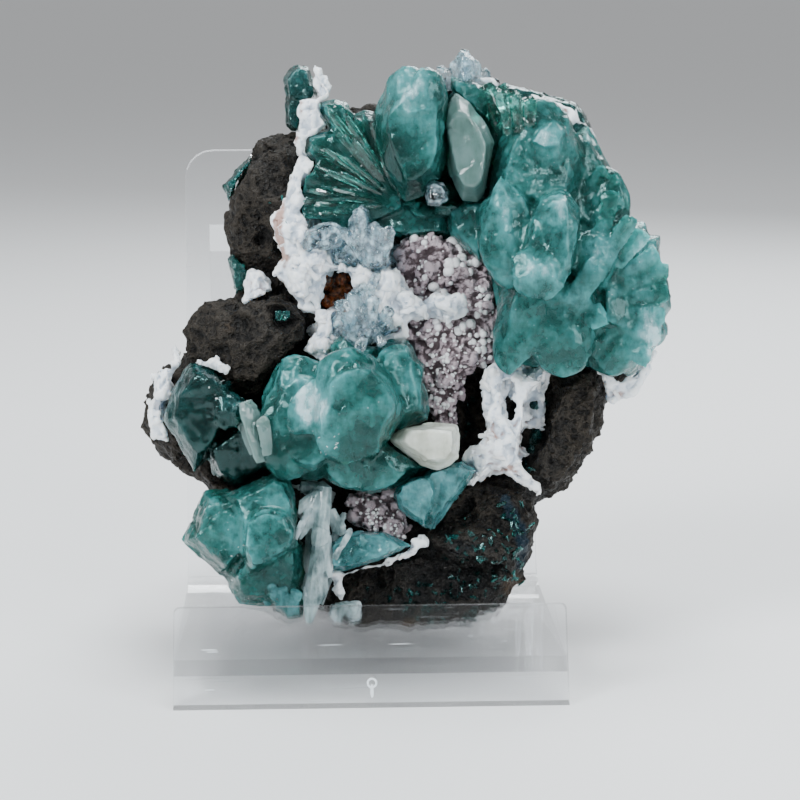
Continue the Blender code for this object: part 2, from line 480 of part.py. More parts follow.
def seen(across, down, proud):
    """Where the line of sight through a place in the photograph is this far proud of the stone's face."""
    right = (across - VIEW_MIDDLE) / VIEW_FOCUS
    rise = (VIEW_MIDDLE - down) / VIEW_FOCUS
    ray = FORWARD + ACROSS * right + UPWARD * rise
    reach = (proud + (FACE_POINT - EYE).dot(FACE_NORMAL)) / ray.dot(FACE_NORMAL)
    return (EYE + ray * reach) * MM


def on_stone(across, up, proud):
    """A place given along the stone's own leaning face."""
    return (FACE_POINT + Vector((across, 0, 0)) + FACE_UP * up + FACE_NORMAL * proud) * MM


def hull(points):
    """The convex solid round a set of points, as a mesh."""
    shape = bmesh.new()
    for point in points:
        shape.verts.new(point)
    result = bmesh.ops.convex_hull(shape, input=shape.verts)
    spare = [item for item in result["geom_interior"] if isinstance(item, bmesh.types.BMVert)]
    bmesh.ops.delete(shape, geom=spare, context="VERTS")
    loose = [vertex for vertex in shape.verts if not vertex.link_faces]
    bmesh.ops.delete(shape, geom=loose, context="VERTS")
    bmesh.ops.recalc_face_normals(shape, faces=shape.faces)
    mesh = bpy.data.meshes.new("hull")
    shape.to_mesh(mesh)
    shape.free()
    return mesh


def drawn_in(outline, centre, share):
    """An outline drawn in towards a centre."""
    return [centre + (Vector(place) - centre) * share for place in outline]


def crystal_points(outline, girdle, front, root, peak=None, top=0.75, lean=(0, 0), root_scale=0.8):
    """Corners of one crystal: its widest ring, its flat front face and its smaller root in the rock."""
    middle = sum((Vector(place) for place in outline), Vector((0, 0))) / len(outline)
    crest = Vector(peak) if peak else middle
    points = [seen(across, down, girdle) for across, down in outline]
    for place in drawn_in(outline, crest, top):
        height = front + (place - crest).dot(Vector(lean)) / 100
        points.append(seen(place.x, place.y, height))
    points += [seen(place.x, place.y, root) for place in drawn_in(outline[::2], middle, root_scale)]
    return points


def blade_points(start, end, width, thickness, proud_start, proud_end):
    """Corners of one long blade with a ridge along its front and a chisel end."""
    foot = seen(start[0], start[1], proud_start)
    tip = seen(end[0], end[1], proud_end)
    along = (tip - foot).normalized()
    side = along.cross(FACE_NORMAL).normalized() * width * MM / 2
    deep = FACE_NORMAL * thickness * MM
    reach = (tip - foot).length
    points = []
    for share, size in ((0.0, 0.7), (0.7, 1.0), (1.0, 0.35)):
        middle = foot + along * reach * share
        points += [middle + side * size, middle - side * size, middle - deep * (0.4 + 0.6 * size)]
        points += [middle + deep * 0.25 * size + side * 0.3, middle + deep * 0.25 * size - side * 0.2]
    return points


def fan_points(tip, turn):
    """Corners of one blade of the glassy fan, from its hub out to its broad end."""
    hub = seen(FAN_HUB[0], FAN_HUB[1], 5)
    end = seen(tip[0], tip[1], 7)
    along = (end - hub).normalized()
    side = along.cross(FACE_NORMAL).normalized() * MM
    deep = FACE_NORMAL * MM
    return [hub + side * 0.6, hub - side * 0.6, hub - deep * 5,
            end + side * 3.6 + deep * turn, end - side * 3.6 - deep * turn, end - deep * 13,
            end - along * 6 * MM + side * 3.9 + deep * (1 + turn),
            end - along * 7 * MM - side * 3.9 + deep * (1 - turn)]


def inflated(mesh, amount):
    """A copy whose faces are moved outwards by the same amount."""
    shape = bmesh.new()
    shape.from_mesh(mesh)
    shape.normal_update()
    moves = [(v, v.normal * amount * MM * v.calc_shell_factor()) for v in shape.verts]
    for vertex, move in moves:
        vertex.co += move
    copy = bpy.data.meshes.new("cutter")
    shape.to_mesh(copy)
    shape.free()
    return copy


def evaluated(item):
    """The mesh of an object with its modifiers, after which the object is gone."""
    bpy.context.view_layer.update()
    graph = bpy.context.evaluated_depsgraph_get()
    mesh = bpy.data.meshes.new_from_object(item.evaluated_get(graph))
    bpy.data.objects.remove(item, do_unlink=True)
    return mesh


def carrier(mesh):
    item = bpy.data.objects.new("carrier", mesh)
    bpy.context.scene.collection.objects.link(item)
    return item


def combined(mesh, other, operation):
    """One solid joined to or cut by another. The exact solver leaves some of these cuts open."""
    item = carrier(mesh)
    tool = carrier(other)
    modifier = item.modifiers.new("cut", "BOOLEAN")
    modifier.operation = operation
    modifier.solver = "EXACT" if operation == "UNION" else "MANIFOLD"
    modifier.object = tool
    result = evaluated(item)
    bpy.data.objects.remove(tool, do_unlink=True)
    return result


def union(meshes):
    result = meshes[0]
    for mesh in meshes[1:]:
        result = combined(result, mesh, "UNION")
    return result


def extents(mesh):
    places = [vertex.co for vertex in mesh.vertices]
    low = Vector(min(place[axis] for place in places) for axis in range(3))
    high = Vector(max(place[axis] for place in places) for axis in range(3))
    return low, high


def near(mesh, other):
    low, high = extents(mesh)
    other_low, other_high = extents(other)
    return all(low[axis] < other_high[axis] and other_low[axis] < high[axis] for axis in range(3))


def surface(faces):
    return sum(face.calc_area() for face in faces)


def shells(shape):
    """The separate bodies of a bmesh, each a list of faces, the one with the largest surface first."""
    waiting = set(shape.faces)
    found = []
    while waiting:
        body = [waiting.pop()]
        for face in body:
            for edge in face.edges:
                for beside in edge.link_faces:
                    if beside in waiting:
                        waiting.remove(beside)
                        body.append(beside)
        found.append(body)
    return sorted(found, key=surface, reverse=True)


def is_closed(shape):
    return all(len(edge.link_faces) == 2 for edge in shape.edges)


def cleaned(mesh, body, distance):
    """One body of a mesh, with points closer than a distance made one and flat faces in triangles."""
    shape = bmesh.new()
    shape.from_mesh(mesh)
    if body is not None:
        found = shells(shape)
        others = [face for other in found[:body] + found[body + 1:] for face in other]
        bmesh.ops.delete(shape, geom=others, context="FACES")
    if distance:
        bmesh.ops.remove_doubles(shape, verts=shape.verts, dist=distance * MM)
        bmesh.ops.dissolve_degenerate(shape, edges=shape.edges, dist=distance / 2 * MM)
        bmesh.ops.dissolve_limit(shape, angle_limit=FLAT, verts=shape.verts, edges=shape.edges)
    bmesh.ops.triangulate(shape, faces=shape.faces)
    bmesh.ops.recalc_face_normals(shape, faces=shape.faces)
    return shape


def tidied(mesh, body=0):
    """One body, or all for None, by the coarsest cleaning that keeps it closed, or None if none does."""
    clean = None
    for distance in CLEANING:
        shape = cleaned(mesh, body, distance)
        if is_closed(shape) and not clean:
            clean = bpy.data.meshes.new("piece")
            shape.to_mesh(clean)
        shape.free()
    return clean


def ball_points(centre, radius):
    shape = bmesh.new()
    bmesh.ops.create_icosphere(shape, subdivisions=2, radius=radius * MM, matrix=Matrix.Translation(centre))
    points = [vertex.co.copy() for vertex in shape.verts]
    shape.free()
    return points


def joined(meshes):
    shape = bmesh.new()
    for mesh in meshes:
        shape.from_mesh(mesh)
    result = bpy.data.meshes.new("joined")
    shape.to_mesh(result)
    shape.free()
    return result


def melted(meshes, voxel):
    """Overlapping solids melted into one even skin."""
    item = carrier(joined(meshes))
    melt = item.modifiers.new("melt", "REMESH")
    melt.mode = "VOXEL"
    melt.voxel_size = voxel * MM
    return evaluated(item)


def shape_skin(mesh, shaper):
    """Moves each point of a skin to where the shaper puts it."""
    places = [shaper(vertex.co.copy(), vertex.normal.copy()) for vertex in mesh.vertices]
    for vertex, place in zip(mesh.vertices, places):
        vertex.co = place


def thinned(mesh, faces):
    """A skin thinned to a number of triangles."""
    mesh.calc_loop_triangles()
    item = carrier(mesh)
    thin = item.modifiers.new("thin", "DECIMATE")
    thin.ratio = min(1.0, faces / len(mesh.loop_triangles))
    return evaluated(item)


def rough(point, normal, size, height, offset=0.0):
    """Uneven growth: noise of one size moves the skin in and out by up to a height."""
    place = point / (size * MM) + Vector((offset, offset, offset))
    return point + normal * noise.noise(place) * height * MM


def lump_shaper(point, normal):
    return rough(rough(point, normal, 4.0, 0.9), normal, 1.8, 0.5, 7.0)


def bead_shaper(point, normal):
    cell = noise.voronoi(point / (3.2 * MM))[0][0]
    return point + normal * (0.45 - cell) * 1.5 * MM


def basalt_shaper(point, normal):
    proud = (point / MM - FACE_POINT).dot(FACE_NORMAL)
    if HIDDEN_FROM < proud < HIDDEN_TO and normal.dot(FACE_NORMAL) > 0.97:
        return point
    return rough(rough(point, normal, 15.0, 3.2), normal, 6.0, 1.9, 3.0)


def hollow_shaper(hollows):
    """Presses a round hollow into a skin at each centre, along its axis."""
    def shaper(point, normal):
        for centre, axis, radius in hollows:
            away = point - centre
            if away.length < radius:
                across = away - axis * away.dot(axis)
                point = centre + across - axis * (radius ** 2 - across.length_squared) ** 0.5
        return point
    return shaper


def tree_of(mesh):
    """A mesh to cast lines of sight at."""
    skin = bmesh.new()
    skin.from_mesh(mesh)
    tree = BVHTree.FromBMesh(skin)
    skin.free()
    return tree


def rock_hollows(rock):
    """Centre, axis and radius of each hollow, found on the rock's own skin."""
    tree = tree_of(rock)
    eye = EYE * MM
    found = []
    for across, down, radius in PITS:
        line = (seen(across, down, 0) - eye).normalized()
        hit = tree.ray_cast(eye, line)[0]
        if hit:
            found.append((hit, -line, radius * MM))
    for across, up, radius in BACK_PITS:
        hit = tree.ray_cast(on_stone(across, up, -2 * STONE_DEPTH), FACE_NORMAL)[0]
        if hit:
            found.append((hit, -FACE_NORMAL, radius * MM))
    return found


def clipped(mesh, point, normal):
    """Cuts away what lies past a plane, and closes the cut."""
    shape = bmesh.new()
    shape.from_mesh(mesh)
    geometry = list(shape.verts) + list(shape.edges) + list(shape.faces)
    cut = bmesh.ops.bisect_plane(shape, geom=geometry, plane_co=point * MM, plane_no=normal,
                                 dist=0.001 * MM, clear_outer=True)
    rim = [item for item in cut["geom_cut"] if isinstance(item, bmesh.types.BMEdge)]
    if rim:
        bmesh.ops.holes_fill(shape, edges=rim)
    bmesh.ops.triangulate(shape, faces=shape.faces)
    result = bpy.data.meshes.new("clipped")
    shape.to_mesh(result)
    shape.free()
    return result


def material(colour_name):
    colour, roughness = COLOURS[colour_name]
    paint = bpy.data.materials.get(colour_name) or bpy.data.materials.new(colour_name)
    paint.use_nodes = True
    surface = paint.node_tree.nodes["Principled BSDF"]
    surface.inputs["Base Color"].default_value = colour
    surface.inputs["Roughness"].default_value = roughness
    surface.inputs["Metallic"].default_value = 0.0
    return paint


def named(name, mesh, colour_name):
    mesh.name = name
    mesh.materials.clear()
    mesh.materials.append(material(colour_name))
    item = bpy.data.objects.new(name, mesh)
    bpy.context.scene.collection.objects.link(item)
    return item


def crystal_meshes(crystals):
    return [hull(crystal_points(**crystal)) for crystal in crystals]


def fan_meshes():
    return [hull(fan_points(tip, 0.9 if index % 2 else -0.9)) for index, tip in enumerate(FAN_TIPS)]


def sheaf_meshes():
    return [hull(blade_points(*blade)) for blade in SHEAF_BLADES]


def set_lumps(lumps, tree):
    """Centre and radius of each lump: at its own height, or on the rock where that stands higher."""
    eye = EYE * MM
    found = []
    for across, down, proud, radius in lumps:
        centre = seen(across, down, proud)
        line = (centre - eye).normalized()
        hit = tree.ray_cast(eye, line)[0]
        if hit and (hit - eye).length < (centre - eye).length + LUMP_LIFT * radius * MM:
            centre = hit - line * LUMP_LIFT * radius * MM
        found.append((centre, radius))
    return found


def slab_mesh(thick, outline, tree):
    """A broad mass that follows the rock round its outline, this thick."""
    eye = EYE * MM
    middle = sum((Vector(place) for place in outline), Vector((0, 0))) / len(outline)
    points = []
    for place, inner in zip(outline, drawn_in(outline, middle, 0.8)):
        for spot, lift in ((place, 0.3 * thick), (inner, thick), (inner, -1.2 * thick)):
            point = seen(spot[0], spot[1], EDGE_LEVEL)
            line = (point - eye).normalized()
            hit = tree.ray_cast(eye, line)[0]
            points.append((hit or point) - line * lift * MM)
    return hull(points)


def lump_meshes(lumps):
    return [hull(ball_points(centre, radius)) for centre, radius in lumps]


def crust_mesh(lumps, slabs, faces, tree):
    """A run of chalcedony: broad masses, lumps, and necks that bridge each lump to its nearest ones."""
    lumps = set_lumps(lumps, tree)
    meshes = [slab_mesh(thick, outline, tree) for thick, outline in slabs] + lump_meshes(lumps)
    for index, (centre, radius) in enumerate(lumps):
        others = lumps[:index] + lumps[index + 1:]
        others.sort(key=lambda other: (other[0] - centre).length)
        for beside, beside_radius in others[:2]:
            neck = NECK * min(radius, beside_radius)
            meshes.append(hull(ball_points(centre, neck) + ball_points(beside, neck)))
    return lumpy(meshes, CRUST_VOXEL, lump_shaper, faces)


def lumpy(meshes, voxel, shaper, faces):
    """A shaped closed skin over overlapping solids, thinned to about this many triangles."""
    for fineness in (1.0, 1.05, 0.95, 1.1, 0.9, 1.2, 0.8):
        skin = melted(meshes, voxel * fineness)
        shape_skin(skin, shaper)
        closed = tidied(thinned(skin, faces), None)
        if closed:
            return closed
    raise RuntimeError("no fineness gives a closed skin")


def solid_crystals():
    """The crystals and blades, the ones in front first: name, colour and convex pieces."""
    return [
        ("stilbite_point", "stilbite", crystal_meshes(STILBITE_POINT)),
        ("apophyllite_small_clear", "pale_green", crystal_meshes(SMALL_CLEAR)),
        ("apophyllite_rosette", "green", crystal_meshes(ROSETTE + UPPER_RIGHT + DARK_GAP)),
        ("apophyllite_centre_left", "green", crystal_meshes(CENTRE_LEFT)),
        ("apophyllite_bottom_left", "green", crystal_meshes(BOTTOM_LEFT)),
        ("apophyllite_upper_left", "green", crystal_meshes(BARREL + GLASSY_BACK + TOP_SMALL) + fan_meshes()),
        ("stilbite_blade", "stilbite", crystal_meshes(STILBITE_BLADE)),
        ("stilbite_sheaf", "stilbite", sheaf_meshes()),
        ("apophyllite_clear_tip", "clear", crystal_meshes(CLEAR_TIP)),
        ("apophyllite_pale_pair", "pale_green", crystal_meshes(PALE_PAIR)),
        ("apophyllite_slab", "pale_green", crystal_meshes(SLAB)),
        ("clear_crystals_upper", "clear", crystal_meshes(CLEAR_CLUSTER)),
        ("clear_crystals_lower", "clear", crystal_meshes(CLEAR_LOWER)),
        ("apophyllite_left_fan", "dark_green", crystal_meshes(LEFT_FAN)),
        ("apophyllite_back_left", "dark_green", crystal_meshes(BACK_LEFT)),
        ("apophyllite_back_ridge", "dark_green", crystal_meshes(BACK_RIDGE)),
        ("apophyllite_left_top", "dark_green", crystal_meshes(SMALL_LEFT_TOP)),
        ("apophyllite_left_low", "dark_green", crystal_meshes(SMALL_LEFT_LOW)),
        ("apophyllite_in_vesicle", "dark_green", crystal_meshes(SMALL_IN_VESICLE)),
        ("stilbite_hanging_bits", "clear", crystal_meshes(HANGING_BITS)),
    ]


def lumpy_pieces(rock):
    """The chalcedony and the druse, in the order in which they are cut: name, colour and mesh."""
    crusts = [
        ("chalcedony_upper_left", CRUST_UPPER_LEFT, SLABS_UPPER_LEFT, 290),
        ("chalcedony_centre", CRUST_CENTRE, SLABS_CENTRE, 260),
        ("chalcedony_right", CRUST_RIGHT, SLABS_RIGHT, 270),
        ("chalcedony_left_edge", CRUST_LEFT_EDGE, SLABS_LEFT_EDGE, 90),
        ("chalcedony_left_patch", CRUST_LEFT_PATCH, [], 50),
        ("chalcedony_left_middle", CRUST_LEFT_MIDDLE, SLABS_LEFT_MIDDLE, 50),
        ("chalcedony_top_rim", CRUST_TOP_RIM, [], 180),
        ("chalcedony_right_patch", CRUST_RIGHT_PATCH, [], 50),
        ("chalcedony_right_rim", CRUST_RIGHT_RIM, [], 90),
        ("chalcedony_bottom_rim", CRUST_BOTTOM_RIM, [], 100),
    ]
    druses = [("druse_middle", DRUSE_CENTRE, 280), ("druse_low", DRUSE_LOW, 80)]
    tree = tree_of(rock)
    pieces = [(name, "chalcedony", crust_mesh(lumps, slabs, faces, tree))
              for name, lumps, slabs, faces in crusts]
    for name, lumps, faces in druses:
        balls = lump_meshes(set_lumps(lumps, tree))
        pieces.append((name, "druse", lumpy(balls, DRUSE_VOXEL, bead_shaper, faces)))
    return pieces


def basalt_mesh():
    skin = melted(crystal_meshes(BASALT), ROCK_VOXEL)
    shape_skin(skin, basalt_shaper)
    shape_skin(skin, hollow_shaper(rock_hollows(skin)))
    behind = FACE_POINT - FACE_NORMAL * (STONE_DEPTH - GAP)
    rock = clipped(thinned(skin, ROCK_FACES), behind, -FACE_NORMAL)
    rock = clipped(rock, Vector((0, 0, LEDGE_TOP + GAP)), Vector((0, 0, -1)))
    return tidied(rock)


def bodies(mesh):
    """Each body of a mesh that is large enough to keep, as a mesh of its own."""
    shape = bmesh.new()
    shape.from_mesh(mesh)
    sizes = [surface(body) for body in shells(shape)]
    shape.free()
    kept = [index for index, size in enumerate(sizes) if index == 0 or size > SMALLEST_BODY * MM ** 2]
    return [body for body in (tidied(mesh, index) for index in kept) if body]


def cut_free(mesh, cutters):
    """The bodies left of a piece once all that it would share with the pieces before it is taken off."""
    found = bodies(mesh)
    for earlier in cutters:
        cut = []
        for body in found:
            cut += bodies(combined(body, earlier, "DIFFERENCE")) if near(body, earlier) else [body]
        found = cut
    return found


def place_piece(name, colour, mesh, cutters):
    for index, body in enumerate(cut_free(mesh, cutters)):
        named(f"{name}_{index + 1}" if index else name, body, colour)


def build_stone():
    rock = basalt_mesh()
    cutters = [inflated(rock, GAP), rock]
    for name, colour, pieces in solid_crystals():
        place_piece(name, colour, union(pieces), cutters)
        cutters.append(union([inflated(piece, GAP) for piece in pieces]))
    for name, colour, mesh in lumpy_pieces(rock):
        place_piece(name, colour, mesh, cutters)
        cutters.append(inflated(mesh, GAP))
    named("basalt_matrix", rock, "basalt")


def sheet_from_profile(profile, width, corner_edges, corner):
    """A side view in Y and Z drawn out across X, with its chosen corner edges rounded."""
    shape = bmesh.new()
    ring = [shape.verts.new(Vector((-width / 2, y, z)) * MM) for y, z in profile]
    side = shape.faces.new(ring)
    drawn = bmesh.ops.extrude_face_region(shape, geom=[side])
    moved = [item for item in drawn["geom"] if isinstance(item, bmesh.types.BMVert)]
    bmesh.ops.translate(shape, verts=moved, vec=Vector((width * MM, 0, 0)))
    bmesh.ops.recalc_face_normals(shape, faces=shape.faces)
    edges = [edge for edge in shape.edges if corner_edges(*(v.co / MM for v in edge.verts))]
    bmesh.ops.bevel(shape, geom=edges, offset=corner * MM, segments=5, profile=0.5,
                    affect="EDGES", material=-1)
    mesh = bpy.data.meshes.new("sheet")
    shape.to_mesh(mesh)
    shape.free()
    return mesh


def front_panel():
    foot = Vector((-PANEL_FOOT / 2, 0))
    top = foot + Vector((sin(PANEL_LEAN), cos(PANEL_LEAN))) * PANEL_LENGTH
    through = Vector((cos(PANEL_LEAN), -sin(PANEL_LEAN))) * SHEET
    profile = [tuple(foot), tuple(top), tuple(top + through), tuple(-foot)]

    def corners(a, b):
        return min(a.z, b.z) > top.y - SHEET and abs(a.x - b.x) < 0.01

    mesh = sheet_from_profile(profile, STAND_WIDTH, corners, PANEL_CORNER)
    drill = bmesh.new()
    turn = Matrix.Rotation(radians(90) - PANEL_LEAN, 4, "X")
    place = Vector((0, PANEL_HOLE_HEIGHT * tan(PANEL_LEAN), PANEL_HOLE_HEIGHT)) * MM
    bmesh.ops.create_cone(drill, cap_ends=True, segments=20, radius1=PANEL_HOLE / 2 * MM,
                          radius2=PANEL_HOLE / 2 * MM, depth=6 * SHEET * MM,
                          matrix=Matrix.Translation(place) @ turn)
    cutter = bpy.data.meshes.new("drill")
    drill.to_mesh(cutter)
    drill.free()
    return tidied(combined(mesh, cutter, "DIFFERENCE"))


def bent_sheet():
    """The ledge that the stone stands on, bent up into the plate that it leans on."""
    bend_height = LEDGE_TOP + BEND_RADIUS
    bend_depth = BACK_FOOT + (bend_height - LEDGE_TOP) * tan(BACK_LEAN) - BEND_RADIUS / cos(BACK_LEAN)
    centre = Vector((bend_depth, bend_height))
    top = Vector((BACK_FOOT + (BACK_TOP - LEDGE_TOP) * tan(BACK_LEAN), BACK_TOP))
    through = Vector((cos(BACK_LEAN), -sin(BACK_LEAN))) * SHEET
    sweep = radians(90) - BACK_LEAN
    angles = [-radians(90) + sweep * step / BEND_STEPS for step in range(BEND_STEPS + 1)]

    def arc(radius):
        return [tuple(centre + Vector((cos(angle), sin(angle))) * radius) for angle in angles]

    def panel_back(height):
        return height * tan(PANEL_LEAN) + PANEL_FOOT / 2 + GAP

    inner = [(panel_back(LEDGE_TOP), LEDGE_TOP)] + arc(BEND_RADIUS) + [tuple(top)]
    low = LEDGE_TOP - SHEET
    outer = [tuple(top + through)] + arc(BEND_RADIUS + SHEET)[::-1] + [(panel_back(low), low)]

    def corners(a, b):
        return min(a.z, b.z) > BACK_TOP - SHEET and abs(a.x - b.x) < 0.01

    return tidied(sheet_from_profile(inner + outer, STAND_WIDTH, corners, BACK_CORNER))


def leg():
    """The plate glued behind, from near the top of the back down to the table."""
    def glue_line(height):
        return BACK_FOOT + (height - LEDGE_TOP) * tan(BACK_LEAN) + SHEET / cos(BACK_LEAN) + GAP

    contact = SHEET / sin(BACK_LEAN + LEG_LEAN)
    low = LEG_TOP - contact * cos(BACK_LEAN)
    foot_back = glue_line(LEG_TOP) + LEG_TOP * tan(LEG_LEAN)
    foot_front = foot_back - SHEET / cos(LEG_LEAN)
    profile = [(glue_line(LEG_TOP), LEG_TOP), (glue_line(low), low), (foot_front, 0), (foot_back, 0)]

    def corners(a, b):
        return min(a.z, b.z) < 0.01 and max(a.z, b.z) < 0.01 and abs(a.x - b.x) < 0.01

    return tidied(sheet_from_profile(profile[::-1], LEG_WIDTH, corners, LEG_CORNER))


def build_stand():
    named("stand_front_panel", front_panel(), "acrylic")
    named("stand_bent_sheet", bent_sheet(), "acrylic")
    named("stand_leg", leg(), "acrylic")


removed_scene()
build_stand()
build_stone()
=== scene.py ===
"""The looks of a green apophyllite specimen on its clear easel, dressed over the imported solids.

Lengths in the constants are millimetres, and the meshes are in metres, in the frame of the solids.
Places in the photograph are pixels of its 800 by 800 frame, and what is placed by one is set on
the solid that its line of sight meets.
"""

import random
from math import cos, radians, sin

import bmesh
import bpy
import numpy as np
from mathutils import Matrix, Vector, noise
from mathutils.bvhtree import BVHTree


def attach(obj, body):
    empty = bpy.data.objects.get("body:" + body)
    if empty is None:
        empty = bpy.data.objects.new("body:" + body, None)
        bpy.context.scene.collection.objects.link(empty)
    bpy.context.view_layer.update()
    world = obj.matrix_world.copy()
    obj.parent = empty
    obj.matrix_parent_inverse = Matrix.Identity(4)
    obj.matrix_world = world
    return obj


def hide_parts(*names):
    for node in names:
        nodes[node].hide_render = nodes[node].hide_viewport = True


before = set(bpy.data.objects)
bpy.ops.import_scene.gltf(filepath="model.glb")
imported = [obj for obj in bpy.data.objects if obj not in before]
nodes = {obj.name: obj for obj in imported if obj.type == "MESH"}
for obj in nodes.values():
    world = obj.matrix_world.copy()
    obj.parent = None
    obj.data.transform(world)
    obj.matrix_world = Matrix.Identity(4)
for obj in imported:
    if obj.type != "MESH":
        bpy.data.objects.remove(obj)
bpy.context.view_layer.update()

MM = 0.001

# The photograph's own view
VIEW_TURN = radians(-2.5)
VIEW_TILT = radians(10.7)
VIEW_POINT = (7.2, -562.06, 186.0)
VIEW_FOCUS = 2285.0
VIEW_MIDDLE = 400.0
SENSOR = 36.0

# The easel leans back by this much, and the stone with it
LEAN = radians(12)
FACE_NORMAL = Vector((0, -cos(LEAN), sin(LEAN)))
FACE_UP = Vector((0, sin(LEAN), cos(LEAN)))
FACE_SIDE = Vector((1, 0, 0))

# Points of a solid's loose triangles that are this close are one point
JOINED = 0.005

# The rock's skin stays this far off the bent sheet, before and after its vugs are made
ROCK_ROOM = 1.3
ROCK_GAP = 0.15

# A sheet is thinner than this, and its narrow sides are what reaches further through it
SHEET_LIMIT = 5.0

# A line of sight longer than this has missed the front of the specimen, in metres
TOO_FAR = 0.72

# Rounded crystals have this many flats, and are this much deeper behind than in front
LOBE_FLATS = 13
LOBE_BACK = 2.6

# A crystal made one by one is a prism of unit length: its radius at the foot and the shoulder,
# how flat its end is, how far the end stands out, its whole length and the prism's middle
FOOT_RADIUS = 0.42
SHOULDER_RADIUS = 0.5
SHOULDER = 0.5
END_FLATNESS = 0.25
END_RISE = (0.10, 0.22)
END_SHIFT = (-0.12, 0.12)
CRYSTAL_LENGTH = 1.15
PRISM_MIDDLE = 0.43
ROOTED = 0.1

APOPHYLLITE_IOR = 1.535
ACRYLIC_IOR = 1.49
GLEAM = (0.55, 0.95, 0.93)


def turned(vector):
    return Matrix.Rotation(VIEW_TURN, 3, "Z") @ Vector(vector)


EYE = turned(VIEW_POINT) * MM
FORWARD = turned((0, cos(VIEW_TILT), -sin(VIEW_TILT)))
UPWARD = turned((0, sin(VIEW_TILT), cos(VIEW_TILT)))
ACROSS = turned((1, 0, 0))


# Shapes and meshes

def shape_of(*meshes):
    """Meshes as one shape to work on."""
    shape = bmesh.new()
    for mesh in meshes:
        shape.from_mesh(mesh)
    return shape


def written(shape, mesh=None):
    """A mesh, or a new one, that takes a shape over."""
    if mesh is None:
        mesh = bpy.data.meshes.new("made")
    shape.to_mesh(mesh)
    shape.free()
    return mesh


def meshed(shape):
    """A shape made of new bodies as a mesh, its faces outward."""
    bmesh.ops.recalc_face_normals(shape, faces=shape.faces)
    return written(shape)


def stance(side, front, up, place):
    """Three axes, each as long as its size, and a place as one matrix."""
    matrix = Matrix((side, front, up)).transposed().to_4x4()
    matrix.translation = place
    return matrix


def carrier(mesh):
    item = bpy.data.objects.new("carrier", mesh)
    bpy.context.scene.collection.objects.link(item)
    return item


def melted(mesh, voxel):
    """An object that shows a mesh as one even skin of small faces."""
    item = carrier(mesh)
    melt = item.modifiers.new("melt", "REMESH")
    melt.mode = "VOXEL"
    melt.voxel_size = voxel * MM
    return item


def evaluated(item):
    """The mesh of an object with its modifiers, after which the object is gone."""
    bpy.context.view_layer.update()
    graph = bpy.context.evaluated_depsgraph_get()
    mesh = bpy.data.meshes.new_from_object(item.evaluated_get(graph))
    bpy.data.objects.remove(item, do_unlink=True)
    return mesh


def remeshed(mesh, voxel):
    return evaluated(melted(mesh, voxel))


def merged_copy(node):
    """A copy of a solid's mesh with its loose triangles joined up."""
    shape = shape_of(nodes[node].data)
    bmesh.ops.remove_doubles(shape, verts=shape.verts, dist=JOINED * MM)
    return written(shape)


def smoothed(mesh, rounds):
    shape = shape_of(mesh)
    for _ in range(rounds):
        bmesh.ops.smooth_vert(shape, verts=shape.verts, factor=0.5,
                              use_axis_x=True, use_axis_y=True, use_axis_z=True)
    return written(shape, mesh)


def moved(mesh, height):
    """Moves each point along its normal by a height in millimetres, worked out from its place."""
    places = [vertex.co + vertex.normal * height(vertex.co / MM) * MM for vertex in mesh.vertices]
    for vertex, place in zip(mesh.vertices, places):
        vertex.co = place
    mesh.update()


def cast_tree(*meshes):
    """Meshes to cast lines of sight at."""
    shape = shape_of(*meshes)
    tree = BVHTree.FromBMesh(shape)
    shape.free()
    return tree


def kept_off(mesh, node, gap):
    """Moves a skin's points out of another solid that it would reach into."""
    tree = cast_tree(nodes[node].data)
    for vertex in mesh.vertices:
        near, normal, _, _ = tree.find_nearest(vertex.co, 4 * MM)
        if near is None:
            continue
        clear = (vertex.co - near).dot(normal)
        if clear < gap * MM:
            vertex.co += normal * (gap * MM - clear)
    mesh.update()


def crisp(mesh, angle):
    """Smooth shading with edges sharper than an angle left hard."""
    mesh.shade_smooth()
    mesh.set_sharp_from_angle(angle=radians(angle))
    return mesh


def piece(name, mesh, look, replaced=()):
    """A finished piece that rides on the specimen."""
    finish, slot = look
    mesh.name = name
    mesh.materials.clear()
    mesh.materials.append(finish)
    item = bpy.data.objects.new(name, mesh)
    bpy.context.scene.collection.objects.link(item)
    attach(item, "root")
    if replaced:
        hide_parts(*replaced)
    return item


# Places in the photograph

def sight(across, down):
    """The direction of the line of sight through a place in the photograph."""
    right = (across - VIEW_MIDDLE) / VIEW_FOCUS
    rise = (VIEW_MIDDLE - down) / VIEW_FOCUS
    return (FORWARD + ACROSS * right + UPWARD * rise).normalized()


def photo_places(points):
    """Where points, an array of rows, are seen in the photograph."""
    away = points - np.array(EYE)
    depth = away @ np.array(FORWARD)
    across = VIEW_MIDDLE + VIEW_FOCUS * (away @ np.array(ACROSS)) / depth
    down = VIEW_MIDDLE - VIEW_FOCUS * (away @ np.array(UPWARD)) / depth
    return across, down


def met(tree, across, down):
    """Place and normal where a line of sight first meets a tree, or None twice."""
    place, normal, _, _ = tree.ray_cast(EYE, sight(across, down))
    return place, normal


def seated(tree, rows):
    """What rows that start with a place in the photograph meet.

    Gives the place and normal met, the line of sight and the rest of the row. A row that meets
    nothing is left out.
    """
    for across, down, *rest in rows:
        place, normal = met(tree, across, down)
        if place is not None:
            yield place, normal, sight(across, down), rest


# Attributes

def vector_rows(vectors, name):
    rows = np.empty(len(vectors) * 3)
    vectors.foreach_get(name, rows)
    return rows.reshape(-1, 3)


def scored(mesh, name, values):
    """Writes values, one for each point, as an attribute between 0 and 1."""
    layer = mesh.attributes.new(name, "FLOAT", "POINT")
    layer.data.foreach_set("value", np.clip(values, 0, 1))


